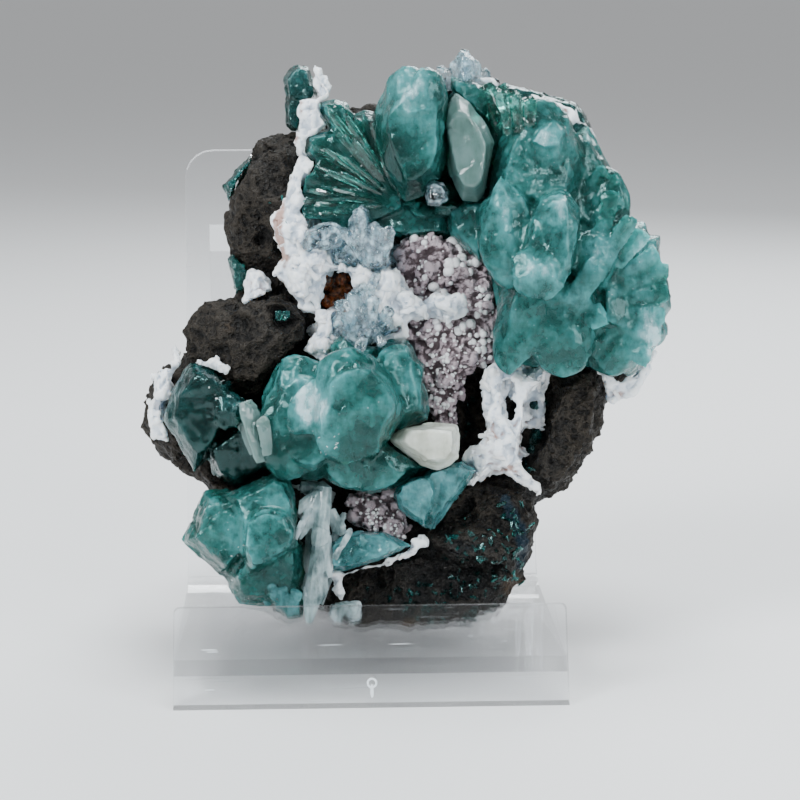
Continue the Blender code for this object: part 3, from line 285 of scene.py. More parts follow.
def painted(mesh, name, spots, base=0.0):
    """An attribute on a mesh: a base value with soft spots, each at a place in the photograph.

    Each spot is across, down, half width, half height and strength. The spots lie on what faces
    the front and fade round the sides.
    """
    across, down = photo_places(vector_rows(mesh.vertices, "co"))
    facing = vector_rows(mesh.vertex_normals, "vector") @ -np.array(FORWARD)
    toward = np.clip(facing * 2.5, 0, 1)
    values = np.full(len(mesh.vertices), float(base))
    for spot_across, spot_down, wide, tall, strength in spots:
        away = ((across - spot_across) / wide) ** 2 + ((down - spot_down) / tall) ** 2
        values += strength * np.exp(-away) * toward
    scored(mesh, name, values)


def crested(mesh, rounds, reach):
    """An attribute that is above a half on crests and below it in valleys.

    It compares each point with a skin smoothed by a number of rounds; the reach, in millimetres,
    is the height of a full crest.
    """
    count = len(mesh.vertices)
    places = vector_rows(mesh.vertices, "co")
    ends = np.empty(len(mesh.edges) * 2, dtype=int)
    mesh.edges.foreach_get("vertices", ends)
    first, second = ends.reshape(-1, 2).T
    degree = np.bincount(first, minlength=count) + np.bincount(second, minlength=count)
    degree = np.maximum(degree, 1)
    soft = places.copy()
    for _ in range(rounds):
        for axis in range(3):
            column = soft[:, axis]
            total = (np.bincount(first, column[second], count)
                     + np.bincount(second, column[first], count))
            soft[:, axis] = total / degree
    normals = vector_rows(mesh.vertex_normals, "vector")
    out = ((places - soft) * normals).sum(axis=1) / (reach * MM)
    # The finishes use this crest value as painted light on crests and painted shade in valleys.
    scored(mesh, "crest", 0.5 + 0.5 * out)


# Heights that shape a skin, in millimetres

def framed(point, size):
    """A place in the stone's own directions, in units of a size."""
    return Vector((point.dot(FACE_SIDE), point.dot(FACE_NORMAL), point.dot(FACE_UP))) / size


def plates(point, size, tilt, step):
    """Flat plates, each with a tilt and a height of its own, as crystals grow side by side."""
    place = framed(point, size)
    centre = noise.voronoi(place)[1][0]
    lean = noise.cell_vector(centre * 9.1) - Vector((0.5, 0.5, 0.5))
    return (place - centre).dot(lean) * size * tilt + (noise.cell(centre * 5.3) - 0.5) * step


def hillocks(point, size, height, offset=0.0):
    """Low pyramids side by side, the growth hillocks of a crystal's faces."""
    place = framed(point, size) + Vector((offset, offset, offset))
    return (0.5 - noise.voronoi(place, distance_metric="MANHATTAN")[0][0]) * height


def waves(point, size, height, offset=0.0):
    """Soft unevenness of one size."""
    return noise.noise(point / size + Vector((offset, offset, offset))) * height


def grooves(point, along, spacing, depth):
    """Fine ridges that run along a direction."""
    side = along.cross(FACE_NORMAL).normalized()
    place = Vector((point.dot(side) / spacing, point.dot(along) / (spacing * 14),
                    point.dot(FACE_NORMAL) / (spacing * 3)))
    return noise.noise(place) * depth


def domes(point, size, height, share, offset=0.0):
    """Round bumps, or hollows where the height is negative, in a share of the cells."""
    near, centres = noise.voronoi(point / size + Vector((offset, offset, offset)))
    reach = 0.62
    if near[0] > reach or noise.cell(centres[0] * 3.7) > share:
        return 0.0
    return height * (1 - (near[0] / reach) ** 2) ** 0.5


def blocky(size, tilt=0.12, step=0.22, fine=0.05):
    """Growth in blocks: broad flat plates with low hillocks on them."""
    def height(point):
        return (plates(point, size, tilt, step) + hillocks(point, size * 0.7, 0.32)
                + hillocks(point, size * 0.28, 0.10, 4.0) + waves(point, size * 2.0, 0.3)
                + waves(point, 0.9, fine, 3.0))
    return height


def fluted(along, spacing, depth, size=5.0):
    """Growth in ridges that run one way, over broad blocks."""
    def height(point):
        return (grooves(point, along, spacing, depth)
                + grooves(point, along, spacing * 0.4, depth * 0.4)
                + plates(point, size, 0.10, 0.15) + waves(point, size, 0.3))
    return height


def crusty(point):
    return (domes(point, 3.4, 0.45, 0.7) + plates(point, 2.2, 0.45, 0.35) + waves(point, 4.0, 0.9)
            + waves(point, 1.5, 0.16, 9.0) - 0.25)


def drusy(point):
    return (domes(point, 4.5, 1.2, 0.8) + plates(point, 1.7, 0.5, 0.5) + waves(point, 3.5, 0.8)
            + waves(point, 0.8, 0.3, 5.0))


def rocky(point):
    return (waves(point, 8.0, 1.0) + waves(point, 3.2, 0.5, 2.0) + waves(point, 1.5, 0.35, 6.0)
            + domes(point, 6.0, -0.8, 0.25) + domes(point, 2.6, -0.8, 0.6, 4.0)
            + plates(point, 2.4, 0.3, 0.25))


# Materials

def arithmetic(operation, swapped=False):
    """A method that joins two terms, or a term and a number, by a maths node."""
    def joined(self, other):
        first, second = (other, self) if swapped else (self, other)
        return self.finish.node("ShaderNodeMath", {0: first, 1: second}, operation=operation)
    return joined


class Term:
    """A node's output that can be added, scaled and compared like a number."""

    __add__, __radd__ = arithmetic("ADD"), arithmetic("ADD", True)
    __sub__, __rsub__ = arithmetic("SUBTRACT"), arithmetic("SUBTRACT", True)
    __mul__, __rmul__ = arithmetic("MULTIPLY"), arithmetic("MULTIPLY", True)

    def __init__(self, finish, socket):
        self.finish = finish
        self.socket = socket

    def above(self, low, high):
        """0 below the low value and 1 above the high one, with a soft slope between."""
        return self.finish.node("ShaderNodeMapRange",
                                {"Value": self, "From Min": low, "From Max": high},
                                interpolation_type="SMOOTHSTEP")


class Finish:
    """A material while its nodes are laid, and the slot that it goes in."""

    def __init__(self, name, slot=None):
        self.material = bpy.data.materials.new(name)
        self.material.use_nodes = True
        self.slot = slot
        self.tree = self.material.node_tree
        self.tree.nodes.clear()
        self.place = self.node("ShaderNodeTexCoord", output="Object")

    def node(self, kind, inputs=None, output=0, **settings):
        """Any node: its settings first, then the values or links of its sockets."""
        made = self.tree.nodes.new(kind)
        for name, value in settings.items():
            setattr(made, name, value)
        for name, value in (inputs or {}).items():
            socket = made.inputs[name]
            if isinstance(value, Term):
                self.tree.links.new(value.socket, socket)
            elif socket.type == "RGBA":
                socket.default_value = (*value, 1)
            else:
                socket.default_value = value
        return Term(self, made.outputs[output])

    def noise(self, size, detail=3.0, roughness=0.5, stretch=None):
        """Soft noise with features of a size in millimetres."""
        place = self.place
        if stretch:
            place = self.node("ShaderNodeMapping", {"Vector": place, "Scale": stretch})
        return self.node("ShaderNodeTexNoise", {"Vector": place, "Scale": 1 / (size * MM),
                                                "Detail": detail, "Roughness": roughness})

    def cells(self, size, output="Distance"):
        return self.node("ShaderNodeTexVoronoi", {"Vector": self.place, "Scale": 1 / (size * MM)},
                         output)

    def vector(self, operation, first, second, output=0):
        return self.node("ShaderNodeVectorMath", {0: first, 1: second}, output,
                         operation=operation)

    def facets(self, size):
        """Height, in metres, of flat facets of a size in millimetres, each tilted its own way."""
        lean = self.vector("SUBTRACT", self.cells(size, "Color"), (0.5, 0.5, 0.5))
        away = self.vector("SUBTRACT", self.place, self.cells(size, "Position"))
        return self.vector("DOT_PRODUCT", away, lean, "Value")

    def attribute(self, name):
        return self.node("ShaderNodeAttribute", output="Fac", attribute_name=name)

    def mix(self, factor, first, second):
        """A colour between two."""
        return self.node("ShaderNodeMix", {0: factor, 6: first, 7: second}, 2, data_type="RGBA")

    def bump(self, height, depth, strength=1.0):
        """A bumped normal; the depth multiplies a height in metres."""
        return self.node("ShaderNodeBump",
                         {"Height": height, "Distance": depth, "Strength": strength})

    def surface(self, colour, rough, ior, normal=None, under=None, extra=None):
        """A plain surface; under is its subsurface weight, radii and scale in millimetres."""
        inputs = {"Base Color": colour, "Roughness": rough, "IOR": ior, **(extra or {})}
        if normal:
            inputs["Normal"] = normal
        if under:
            weight, radii, scale = under
            inputs.update({"Subsurface Weight": weight, "Subsurface Radius": radii,
                           "Subsurface Scale": scale * MM})
        return self.node("ShaderNodeBsdfPrincipled", inputs)

    def blend(self, factor, first, second):
        return self.node("ShaderNodeMixShader", {0: factor, 1: first, 2: second})

    def done(self, shader, absorbed=None, density=0.0):
        """The finished material with its slot."""
        output = self.tree.nodes.new("ShaderNodeOutputMaterial")
        self.tree.links.new(shader.socket, output.inputs["Surface"])
        if absorbed:
            volume = self.node("ShaderNodeVolumeAbsorption",
                               {"Color": absorbed, "Density": density})
            self.tree.links.new(volume.socket, output.inputs["Volume"])
        return self.material, self.slot


def crystal_finish(name, slot, deep, mid, pale, absorbed, density, milk=0.54):
    """Glassy, milky mineral: clear depth that shows between white veils."""
    finish = Finish(name, slot)
    cloud = finish.noise(8.0, 3.0, 0.55)
    veil = finish.noise(2.4, 4.0, 0.6)
    grain = finish.noise(0.45, 2.0)
    frost = finish.attribute("frost")
    dark = finish.attribute("deep")
    crest = finish.attribute("crest")
    wisp = finish.noise(3.0, 5.0, 0.65, stretch=(1, 1, 0.35))
    # Lightness: cloud, veil, wisp and frost are the crystal's own tone; the crest term is painted
    # light on crests and painted shade in valleys, and dark, from the deep attribute, is painted
    # shade at bases and in crevices.
    light = (cloud * 0.55 + veil * 0.4 + wisp * 0.3 + (crest - 0.5) * 0.35 + frost * 0.5
             - dark * 0.5)
    frost = (frost * 1.4 * (veil * 0.5 + wisp * 0.7)).above(0.05, 1.0)
    body = finish.mix(light.above(0.2, 0.8), deep, mid)
    body = finish.mix(light.above(0.55, 1.2), body, pale)
    # White is real frost and wisps, plus painted highlight on crests.
    white = (frost * 0.9 + (crest - 0.5) * 0.5 + wisp * 0.5).above(0.70, 1.35)
    # Painted glints: small bright spots mixed into the colour.
    painted_glint = (1 - finish.cells(1.7)).above(0.86, 0.95) * veil.above(0.45, 0.6)
    body = finish.mix(white * 0.85 + painted_glint * 0.5, body, (0.62, 0.77, 0.82))
    relief = finish.facets(1.5) * 0.7 + finish.facets(0.5) * 0.3
    rough = 0.08 + grain * 0.10 + white * 0.25
    milky = finish.surface(body, rough, APOPHYLLITE_IOR, finish.bump(relief, 1.0, 0.45),
                           (0.85, (0.35, 1.0, 0.9), 4.5),
                           {"Specular IOR Level": 0.4, "Specular Tint": GLEAM})
    glassy = finish.surface(finish.mix(0.4, body, (0.60, 0.95, 0.90)), rough, APOPHYLLITE_IOR,
                            finish.bump(relief, 1.0, 0.12), None,
                            {"Transmission Weight": 1.0, "Specular Tint": GLEAM})
    share = 0.2 + 0.6 * (cloud * 0.6 + wisp * 0.3 + veil * 0.4 + frost * 0.4 - dark * 0.3 + milk
                         - 0.85).above(0.1, 0.55)
    return finish.done(finish.blend(share, glassy, milky), absorbed, density)


def clear_finish(name, slot, milky_tint, glass_tint, absorbed, density, milk):
    """Clear glassy crystal with veils in it."""
    finish = Finish(name, slot)
    veil = finish.noise(2.6, 4.0, 0.6)
    streak = finish.noise(1.2, 3.0, 0.5, stretch=(1, 1, 0.3))
    crest = finish.attribute("crest")
    normal = finish.bump(finish.facets(1.2), 1.0, 0.15)
    rough = 0.04 + streak * 0.10
    # The crest term is painted light on crests and painted shade in valleys; streaks and veils are
    # the crystal's own tone.
    body = finish.mix((streak * 0.6 + veil * 0.5 + (crest - 0.5) * 0.4).above(0.3, 0.8),
                      tuple(value * 0.55 for value in milky_tint), milky_tint)
    glassy = finish.surface(glass_tint, rough, APOPHYLLITE_IOR, normal, None,
                            {"Transmission Weight": 1.0})
    milky = finish.surface(body, rough * 1.5, APOPHYLLITE_IOR, normal,
                           (0.85, (0.7, 1.0, 1.0), 3.0))
    share = (veil * 0.8 + streak * 0.3 + milk - 0.5).above(0.3, 0.7)
    return finish.done(finish.blend(share, glassy, milky), absorbed, density)


def stilbite_finish(name, pale, warm, milk=0.0):
    finish = Finish(name, "stilbite")
    streak = finish.noise(1.1, 4.0, 0.6, stretch=(1, 1, 0.18))
    cloud = finish.noise(6.0, 3.0)
    crest = finish.attribute("crest")
    # Streaks and clouds are the blade's own tone; the crest term is painted shade in valleys.
    tone = (streak * 0.2 + cloud * 0.8 + (crest - 0.5) * 0.15).above(0.3, 0.85)
    body = finish.mix(tone, warm, pale)
    normal = finish.bump(streak * MM, 0.15, 0.5)
    milky = finish.surface(body, 0.16 + streak * 0.15, 1.5, normal,
                           (0.8, (1.0, 0.95, 0.85), 3.0),
                           {"Coat Weight": 0.3, "Coat Roughness": 0.08})
    glassy = finish.surface(body, 0.12, 1.5, normal, None, {"Transmission Weight": 1.0})
    share = (cloud * 0.8 + streak * 0.3 + milk).above(0.2, 0.7)
    return finish.done(finish.blend(share, glassy, milky))


def chalcedony_finish():
    finish = Finish("white_chalcedony", "chalcedony")
    lump = finish.noise(2.2, 5.0, 0.6)
    broad = finish.noise(6.0, 3.0, 0.55)
    stain = finish.noise(4.0, 4.0, 0.6)
    warm = finish.attribute("stain")
    crest = finish.attribute("crest")
    # Grey-blue to white: lumps are the crust's own tone, and the crest term is painted shade in
    # valleys.
    body = finish.mix((lump * 0.6 + broad * 0.6 + (crest - 0.5) * 0.8).above(0.35, 0.8),
                      (0.46, 0.53, 0.61), (0.86, 0.90, 0.94))
    # Pink-tan: the stain attribute and noise are real stain, and the crest term adds painted shade
    # in valleys.
    body = finish.mix((stain * 0.6 + warm * 1.1 + (0.5 - crest) * 0.9).above(0.55, 1.1), body,
                      (0.42, 0.28, 0.24))
    relief = lump * 0.7 * MM + finish.noise(0.5, 3.0) * 0.3 * MM
    return finish.done(finish.surface(body, 0.20 + lump * 0.2, 1.53, finish.bump(relief, 0.22, 0.8),
                                      (0.7, (0.8, 0.9, 1.0), 1.8)))


def druse_finish():
    finish = Finish("mauve_druse", "druse")
    patch = finish.noise(3.0, 4.0, 0.6)
    lines = finish.node("ShaderNodeTexWave", {"Vector": finish.place, "Scale": 700.0,
                                              "Distortion": 14.0, "Detail": 3.0,
                                              "Detail Scale": 2.0},
                        "Fac", wave_type="RINGS", rings_direction="SPHERICAL")
    crest = finish.attribute("crest")
    # Patches and rings are the druse's own tone; the crest term is painted shade in valleys.
    shade = (patch * 0.5 + lines * 0.3 + (crest - 0.5) * 1.4).above(0.25, 0.8)
    body = finish.mix(shade, (0.10, 0.068, 0.076), (0.58, 0.47, 0.51))
    relief = finish.facets(0.9) + lines * 0.15 * MM
    return finish.done(finish.surface(body, 0.22 + patch * 0.25, 1.54,
                                      finish.bump(relief, 1.0, 0.8),
                                      (0.25, (0.8, 0.6, 0.6), 0.8)))


def bead_finish():
    finish = Finish("white_beads", "druse")
    tone = finish.noise(1.2, 3.0)
    body = finish.mix(tone, (0.80, 0.77, 0.79), (0.95, 0.95, 0.95))
    return finish.done(finish.surface(body, 0.18 + tone * 0.2, 1.54, None,
                                      (0.5, (1.0, 0.9, 0.9), 0.8)))


def amber_finish():
    finish = Finish("amber_crust", "druse")
    tone = finish.noise(1.6, 4.0, 0.6)
    body = finish.mix(tone.above(0.35, 0.7), (0.035, 0.013, 0.006), (0.42, 0.11, 0.025))
    return finish.done(finish.surface(body, 0.18 + tone * 0.15, 1.55,
                                      finish.bump(finish.facets(0.8), 1.0, 0.5),
                                      (0.4, (1.0, 0.4, 0.2), 1.5)))


def basalt_finish():
    finish = Finish("dark_basalt", "basalt")
    broad = finish.noise(12.0, 4.0, 0.6)
    fine = finish.noise(1.3, 5.0, 0.7)
    vugs = finish.cells(1.5).above(0.12, 0.55)
    pores = finish.cells(0.62).above(0.15, 0.6)
    film = finish.attribute("film")
    rust = finish.attribute("rust")
    dim = finish.attribute("dim")
    crest = finish.attribute("crest")
    # Grain, vugs and pores are the rock's own tone; the crest term is painted shade in valleys.
    shade = (fine * 0.5 + (crest - 0.5) * 0.8 + vugs * 0.3 + pores * 0.2).above(0.3, 1.0)
    body = finish.mix(shade, (0.0022, 0.0018, 0.0015), (0.024, 0.0185, 0.013))
    body = finish.mix((broad * 0.7 + rust * 0.9 + fine * 0.2).above(0.62, 1.0) * shade, body,
                      (0.085, 0.048, 0.022))
    body = finish.mix((film * 0.9 + fine * 0.8 - 0.45).above(0.2, 0.6), body,
                      (0.006, 0.020, 0.034))
    body = finish.mix(dim * 0.7, body, (0.006, 0.007, 0.008))
    # Painted glints: sparse bright specks in the colour.
    painted_glint = (1 - finish.cells(0.8)).above(0.93, 0.98) * fine.above(0.45, 0.6)
    body = finish.mix(painted_glint * 0.7, body, (0.30, 0.27, 0.24))
    relief = (vugs * 0.6 + pores * 0.25 + fine * 0.6) * MM
    return finish.done(finish.surface(body, 0.42 - film * 0.2 + fine * 0.25, 1.45,
                                      finish.bump(relief, 1.0, 1.0), None,
                                      {"Specular IOR Level": 0.3}))


def acrylic_finish():
    finish = Finish("clear_acrylic", "acrylic")
    dust = finish.noise(3.0, 6.0, 0.7)
    scratch = finish.noise(0.8, 2.0, 0.5, stretch=(0.05, 1, 1)).above(0.70, 0.76)
    clear = finish.surface((0.975, 0.985, 1.0), dust.above(0.6, 0.95) * 0.012 + scratch * 0.06,
                           ACRYLIC_IOR, None, None, {"Transmission Weight": 1.0, "Alpha": 0.5,
                                                     "Specular IOR Level": 0.3})
    haze = finish.surface((0.82, 0.88, 0.93), 0.4, ACRYLIC_IOR)
    return finish.done(finish.blend(scratch * 0.10, clear, haze))


def frosted_finish():
    finish = Finish("frosted_acrylic", "acrylic")
    grain = finish.noise(0.4, 3.0)
    body = finish.mix(grain, (0.55, 0.60, 0.64), (0.85, 0.89, 0.92))
    return finish.done(finish.surface(body, 0.35 + grain * 0.3, ACRYLIC_IOR,
                                      finish.bump(grain * MM, 0.1)))


def acrylic_edge_finish():
    """The sawn and polished edges of the sheets, with a faint painted glow of their own."""
    finish = Finish("acrylic_edge")
    saw = finish.noise(0.5, 3.0, 0.6, stretch=(0.2, 1, 1))
    # Painted light: the edges glow a little, in place of light that the glass gathers.
    glow = finish.mix(saw, (0.30, 0.42, 0.50), (0.55, 0.66, 0.74))
    return finish.done(finish.surface((0.42, 0.58, 0.66), 0.25 + saw * 0.2, ACRYLIC_IOR, None, None,
                                      {"Transmission Weight": 0.6, "Emission Color": glow,
                                       "Emission Strength": 0.2}))


# Crystals, blades and beads made one by one

def crystal_shape(shape, foot, tip, wide, thick, sides, chisel, facing, draw):
    """One crystal from foot to tip: a prism with a narrowed end, its flat side turned to facing."""
    made = bmesh.ops.create_cone(shape, cap_ends=True, segments=sides, radius1=FOOT_RADIUS,
                                 radius2=SHOULDER_RADIUS, depth=1.0)["verts"]
    top = [face for face in {face for vertex in made for face in vertex.link_faces}
           if all(vertex.co.z > SHOULDER - 0.01 for vertex in face.verts)]
    raised = bmesh.ops.extrude_face_region(shape, geom=top)["geom"]
    tips = [item for item in raised if isinstance(item, bmesh.types.BMVert)]
    bmesh.ops.delete(shape, geom=top, context="FACES")
    for vertex in tips:
        vertex.co.x = vertex.co.x * chisel + draw.uniform(*END_SHIFT)
        vertex.co.y *= END_FLATNESS
        vertex.co.z = SHOULDER + draw.uniform(*END_RISE)
    along = tip - foot
    upright = along.normalized()
    side = upright.cross(facing).normalized()
    front = side.cross(upright)
    matrix = stance(side * wide * MM, front * thick * MM,
                    upright * along.length / CRYSTAL_LENGTH, foot + along * PRISM_MIDDLE)
    bmesh.ops.transform(shape, matrix=matrix, verts=made + tips)


def wobble(draw, reach):
    """A vector drawn at random from a cube."""
    return Vector([draw.uniform(-reach, reach) for _ in range(3)])


def fan_blades(tree, hub, tips, seed):
    """Flat blades from a hub to tips: across, down, width, how far the tip stands out."""
    draw = random.Random(seed)
    shape = bmesh.new()
    foot, _ = met(tree, *hub)
    for place, _, line, (wide, proud) in seated(tree, tips):
        facing = (wobble(draw, 0.6) - line).normalized()
        tip = place - line * proud * MM
        start = foot.lerp(tip, draw.uniform(0.02, 0.3)) - line * 0.4 * MM
        crystal_shape(shape, start, tip, wide, wide * draw.uniform(0.3, 0.5), 5, 0.6, facing, draw)
    return meshed(shape)


def sprigs(tree, rows, seed, flatness, chisel):
    """Crystals that stand on a skin.

    Each row is the foot's place, the tip's place, the width and the tip's distance in front of
    the foot.
    """
    draw = random.Random(seed)
    shape = bmesh.new()
    for foot, _, _, (tip_across, tip_down, wide, proud) in seated(tree, rows):
        line = sight(tip_across, tip_down)
        tip = EYE + line * ((foot - EYE).length - proud * MM)
        foot = foot.lerp(tip, -ROOTED)
        facing = (wobble(draw, 0.35) - line).normalized()
        thick = wide * draw.uniform(*flatness)
        crystal_shape(shape, foot, tip, wide, thick, 6, chisel, facing, draw)
    return meshed(shape)


def lobes(tree, rows, seed):
    """Rounded crystals side by side on a skin.

    Each row is the middle's place, half the width and height in the photograph, the lean in
    degrees, how far the front stands out and the thickness.
    """
    draw = random.Random(seed)
    shape = bmesh.new()
    for place, _, line, (wide, tall, lean, proud, thick) in seated(tree, rows):
        scale = (place - EYE).length / VIEW_FOCUS
        side = line.cross(UPWARD).normalized()
        upright = side.cross(line).normalized()
        spin = Matrix.Rotation(radians(lean), 3, line)
        made = bmesh.ops.create_icosphere(shape, subdivisions=5, radius=1.0)["verts"]
        for _ in range(LOBE_FLATS):
            facing = Vector((draw.gauss(0, 1), draw.gauss(-0.5, 0.8), draw.gauss(0, 0.8)))
            facing.normalize()
            reach = draw.uniform(0.70, 0.88)
            for vertex in made:
                beyond = vertex.co.dot(facing) - reach
                if beyond > 0:
                    vertex.co -= facing * beyond
        for vertex in made:
            if vertex.co.y > 0:
                vertex.co.y *= LOBE_BACK
        matrix = stance(spin @ side * wide * scale, line * thick * MM,
                        spin @ upright * tall * scale, place + line * (thick - proud) * MM)
        bmesh.ops.transform(shape, matrix=matrix, verts=made)
    return meshed(shape)


def bead_cluster(tree, rows, seed):
    """Small beads on a skin: each row is across, down, how far they spread, how many, radius."""
    draw = random.Random(seed)
    shape = bmesh.new()
    for across, down, spread, count, radius in rows:
        for _ in range(count):
            place, normal = met(tree, across + draw.gauss(0, spread), down + draw.gauss(0, spread))
            if place is None or (place - EYE).length > TOO_FAR:
                continue
            size = radius * draw.uniform(0.5, 1.3) * MM
            matrix = (Matrix.Translation(place - normal * size * 0.25)
                      @ Matrix.Diagonal((1, draw.uniform(0.7, 1), draw.uniform(0.8, 1.2), 1)))
            bmesh.ops.create_icosphere(shape, subdivisions=2, radius=size, matrix=matrix)
    return meshed(shape)


def chips(tree, rows, seed):
    """Small slivers on a skin: each row is across, down, spread across and down, count, length."""
    draw = random.Random(seed)
    shape = bmesh.new()
    for across, down, wide, tall, count, length in rows:
        for _ in range(count):
            place, normal = met(tree, across + draw.gauss(0, wide), down + draw.gauss(0, tall))
            if place is None:
                continue
            along = normal.cross(wobble(draw, 1)).normalized()
            along = (along + normal * draw.uniform(0.0, 0.5)).normalized()
            reach = length * draw.uniform(0.5, 1.3)
            foot = place - along * reach * 0.5 * MM
            tip = place + along * reach * 0.5 * MM + normal * 0.3 * MM
            broad = reach * draw.uniform(0.25, 0.5)
            crystal_shape(shape, foot, tip, broad, broad * 0.5, 5, 0.6, normal, draw)
    return meshed(shape)


def crust_patch(tree, rows, voxel):
    """Lumps that run together into one crust: each row is across, down and radius."""
    shape = bmesh.new()
    for place, normal, _, (radius,) in seated(tree, rows):
        middle = Matrix.Translation(place - normal * radius * 0.25 * MM)
        bmesh.ops.create_icosphere(shape, subdivisions=2, radius=radius * MM, matrix=middle)
    return remeshed(meshed(shape), voxel)


def hollowed(mesh, rows):
    """A mesh with round hollows cut where lines of sight meet it: across, down and radius."""
    balls = bmesh.new()
    for place, _, _, (radius,) in seated(cast_tree(mesh), rows):
        matrix = Matrix.Translation(place) @ Matrix.Diagonal((1, 3.0, 1.2, 1))
        bmesh.ops.create_icosphere(balls, subdivisions=3, radius=radius * MM, matrix=matrix)
    cutter = melted(meshed(balls), 0.5)
    item = carrier(mesh)
    cut = item.modifiers.new("cut", "BOOLEAN")
    cut.operation = "DIFFERENCE"
    cut.solver = "EXACT"
    cut.object = cutter
    made = evaluated(item)
    bpy.data.objects.remove(cutter, do_unlink=True)
    return made


# The specimen's pieces

green = crystal_finish("green_apophyllite", "green_crystal", deep=(0.004, 0.065, 0.052),
                       mid=(0.022, 0.150, 0.135), pale=(0.105, 0.335, 0.350),
                       absorbed=(0.25, 0.82, 0.74), density=400.0)
pale = crystal_finish("pale_apophyllite", "pale_crystal", deep=(0.030, 0.160, 0.160),
                      mid=(0.085, 0.270, 0.290), pale=(0.23, 0.46, 0.50),
                      absorbed=(0.40, 0.88, 0.86), density=250.0)
dark = crystal_finish("deep_apophyllite", "dark_crystal", deep=(0.002, 0.026, 0.024),
                      mid=(0.008, 0.075, 0.070), pale=(0.06, 0.22, 0.23),
                      absorbed=(0.12, 0.72, 0.64), density=700.0, milk=0.4)
clear = clear_finish("clear_crystal", "clear_crystal", (0.56, 0.72, 0.80), (0.90, 0.97, 1.0),
                     (0.74, 0.92, 0.97), 90.0, 0.36)
clear_green = clear_finish("clear_green_crystal", "green_crystal", (0.030, 0.200, 0.175),
                           (0.45, 0.90, 0.84), (0.22, 0.82, 0.74), 400.0, 0.3)
amber = amber_finish()
chalcedony = chalcedony_finish()
druse = druse_finish()
beads = bead_finish()
basalt = basalt_finish()
blade_stilbite = stilbite_finish("grey_stilbite", (0.13, 0.215, 0.21), (0.075, 0.15, 0.135), 0.2)
cream = stilbite_finish("cream_stilbite", (0.72, 0.75, 0.69), (0.42, 0.44, 0.37), 0.2)
white_stilbite = stilbite_finish("white_stilbite", (0.60, 0.68, 0.70), (0.20, 0.32, 0.33))
frosted = frosted_finish()
acrylic = acrylic_finish()
acrylic_edge, _ = acrylic_edge_finish()

# Frosted places on the crystals, then painted shade at the crystals' bases and in crevices
FROST = [
    (436, 193, 10, 10, 0.7), (314, 405, 18, 26, 1), (306, 404, 12, 18, 0.9),
    (268, 530, 24, 34, 0.5), (235, 400, 14, 20, 0.5), (534, 272, 24, 16, 0.8),
    (597, 249, 18, 18, 0.7), (655, 340, 14, 24, 0.7), (288, 378, 12, 10, 0.6),
    (408, 86, 26, 24, 0.5), (545, 135, 20, 18, 0.7), (330, 448, 12, 10, 0.4),
    (560, 215, 18, 34, 0.6), (505, 210, 20, 32, 0.55), (238, 540, 14, 34, 0.4),
    (640, 250, 22, 24, 0.55), (645, 320, 20, 40, 0.5), (265, 500, 20, 10, 0.4),
    (575, 300, 30, 14, 0.5), (340, 372, 26, 10, 0.3), (402, 380, 18, 26, 0.35),
    (412, 110, 26, 34, 0.4),
]
# Painted shade at the crystals' bases and in crevices, put in the deep attribute
PAINTED_SHADE = [
    (420, 185, 24, 20, 0.6), (380, 150, 18, 30, 0.7), (490, 120, 12, 30, 0.7),
    (340, 180, 44, 34, 0.8), (372, 450, 34, 20, 0.4), (250, 455, 34, 30, 0.6),
    (560, 355, 34, 12, 0.2), (270, 530, 26, 26, 0.2), (280, 590, 26, 16, 0.4),
    (610, 190, 10, 30, 0.4), (220, 570, 20, 20, 0.3), (210, 410, 24, 30, 0.3),
]
# Smaller crystals of the groups: foot across and down, tip across and down, width, and how far
# the tip stands in front of the foot
OFFSHOOTS = {
    "apophyllite_rosette": [
        (590, 320, 606, 312, 8, 1), (575, 300, 600, 262, 8, 1.4), (600, 240, 612, 190, 6, 0.2),
        (612, 250, 632, 216, 6, 0.6), (618, 262, 646, 230, 6, 0.8), (625, 275, 659, 250, 6, 0.3),
        (632, 285, 669, 268, 6, 0.5), (635, 300, 670, 292, 6, 0.4), (635, 315, 667, 316, 6, 0.5),
        (630, 330, 660, 338, 6, 0.3), (620, 345, 650, 360, 6, 0.5), (590, 200, 620, 178, 5, 0.2),
        (588, 190, 606, 168, 5, 0.5), (596, 215, 624, 200, 5, 0.3),
    ],
}
# Rounded crystals of the groups: across, down, half width, half height, lean, how far the front
# stands out, thickness
LOBES = {
    "apophyllite_rosette": [
        (538, 155, 46, 56, 4, 1.6, 6), (505, 232, 28, 58, -6, 2.2, 5),
        (556, 238, 28, 52, 4, 2.8, 5), (540, 274, 34, 26, 10, 2.6, 4),
        (597, 249, 22, 22, 0, 2.2, 3), (604, 200, 26, 36, -14, 0.8, 4),
        (522, 328, 30, 50, 14, 1.2, 5), (560, 326, 36, 52, -6, 1.6, 5),
        (600, 314, 34, 54, -20, 1.4, 5), (640, 318, 26, 46, -22, 1, 4),
        (614, 352, 28, 24, -20, 1, 4), (622, 276, 24, 26, -40, 1.2, 4),
    ],
    "apophyllite_centre_left": [
        (352, 408, 50, 62, -8, 1.4, 7), (292, 418, 36, 64, 6, 0.8, 6), (402, 384, 30, 48, -6, 1, 5),
        (366, 464, 52, 28, 0, 1, 5), (312, 408, 22, 34, 34, 2.6, 3), (300, 372, 24, 18, 10, 0.8, 4),
        (350, 350, 22, 15, 0, 0.8, 4), (350, 455, 30, 34, -10, 1.8, 5),
    ],
    "apophyllite_left_fan": [
        (230, 412, 19, 20, 0, 1.6, 4),
    ],
    "apophyllite_upper_left": [
        (412, 128, 38, 62, -4, 0.8, 7), (424, 92, 23, 26, -10, 1.2, 4),
    ],
}
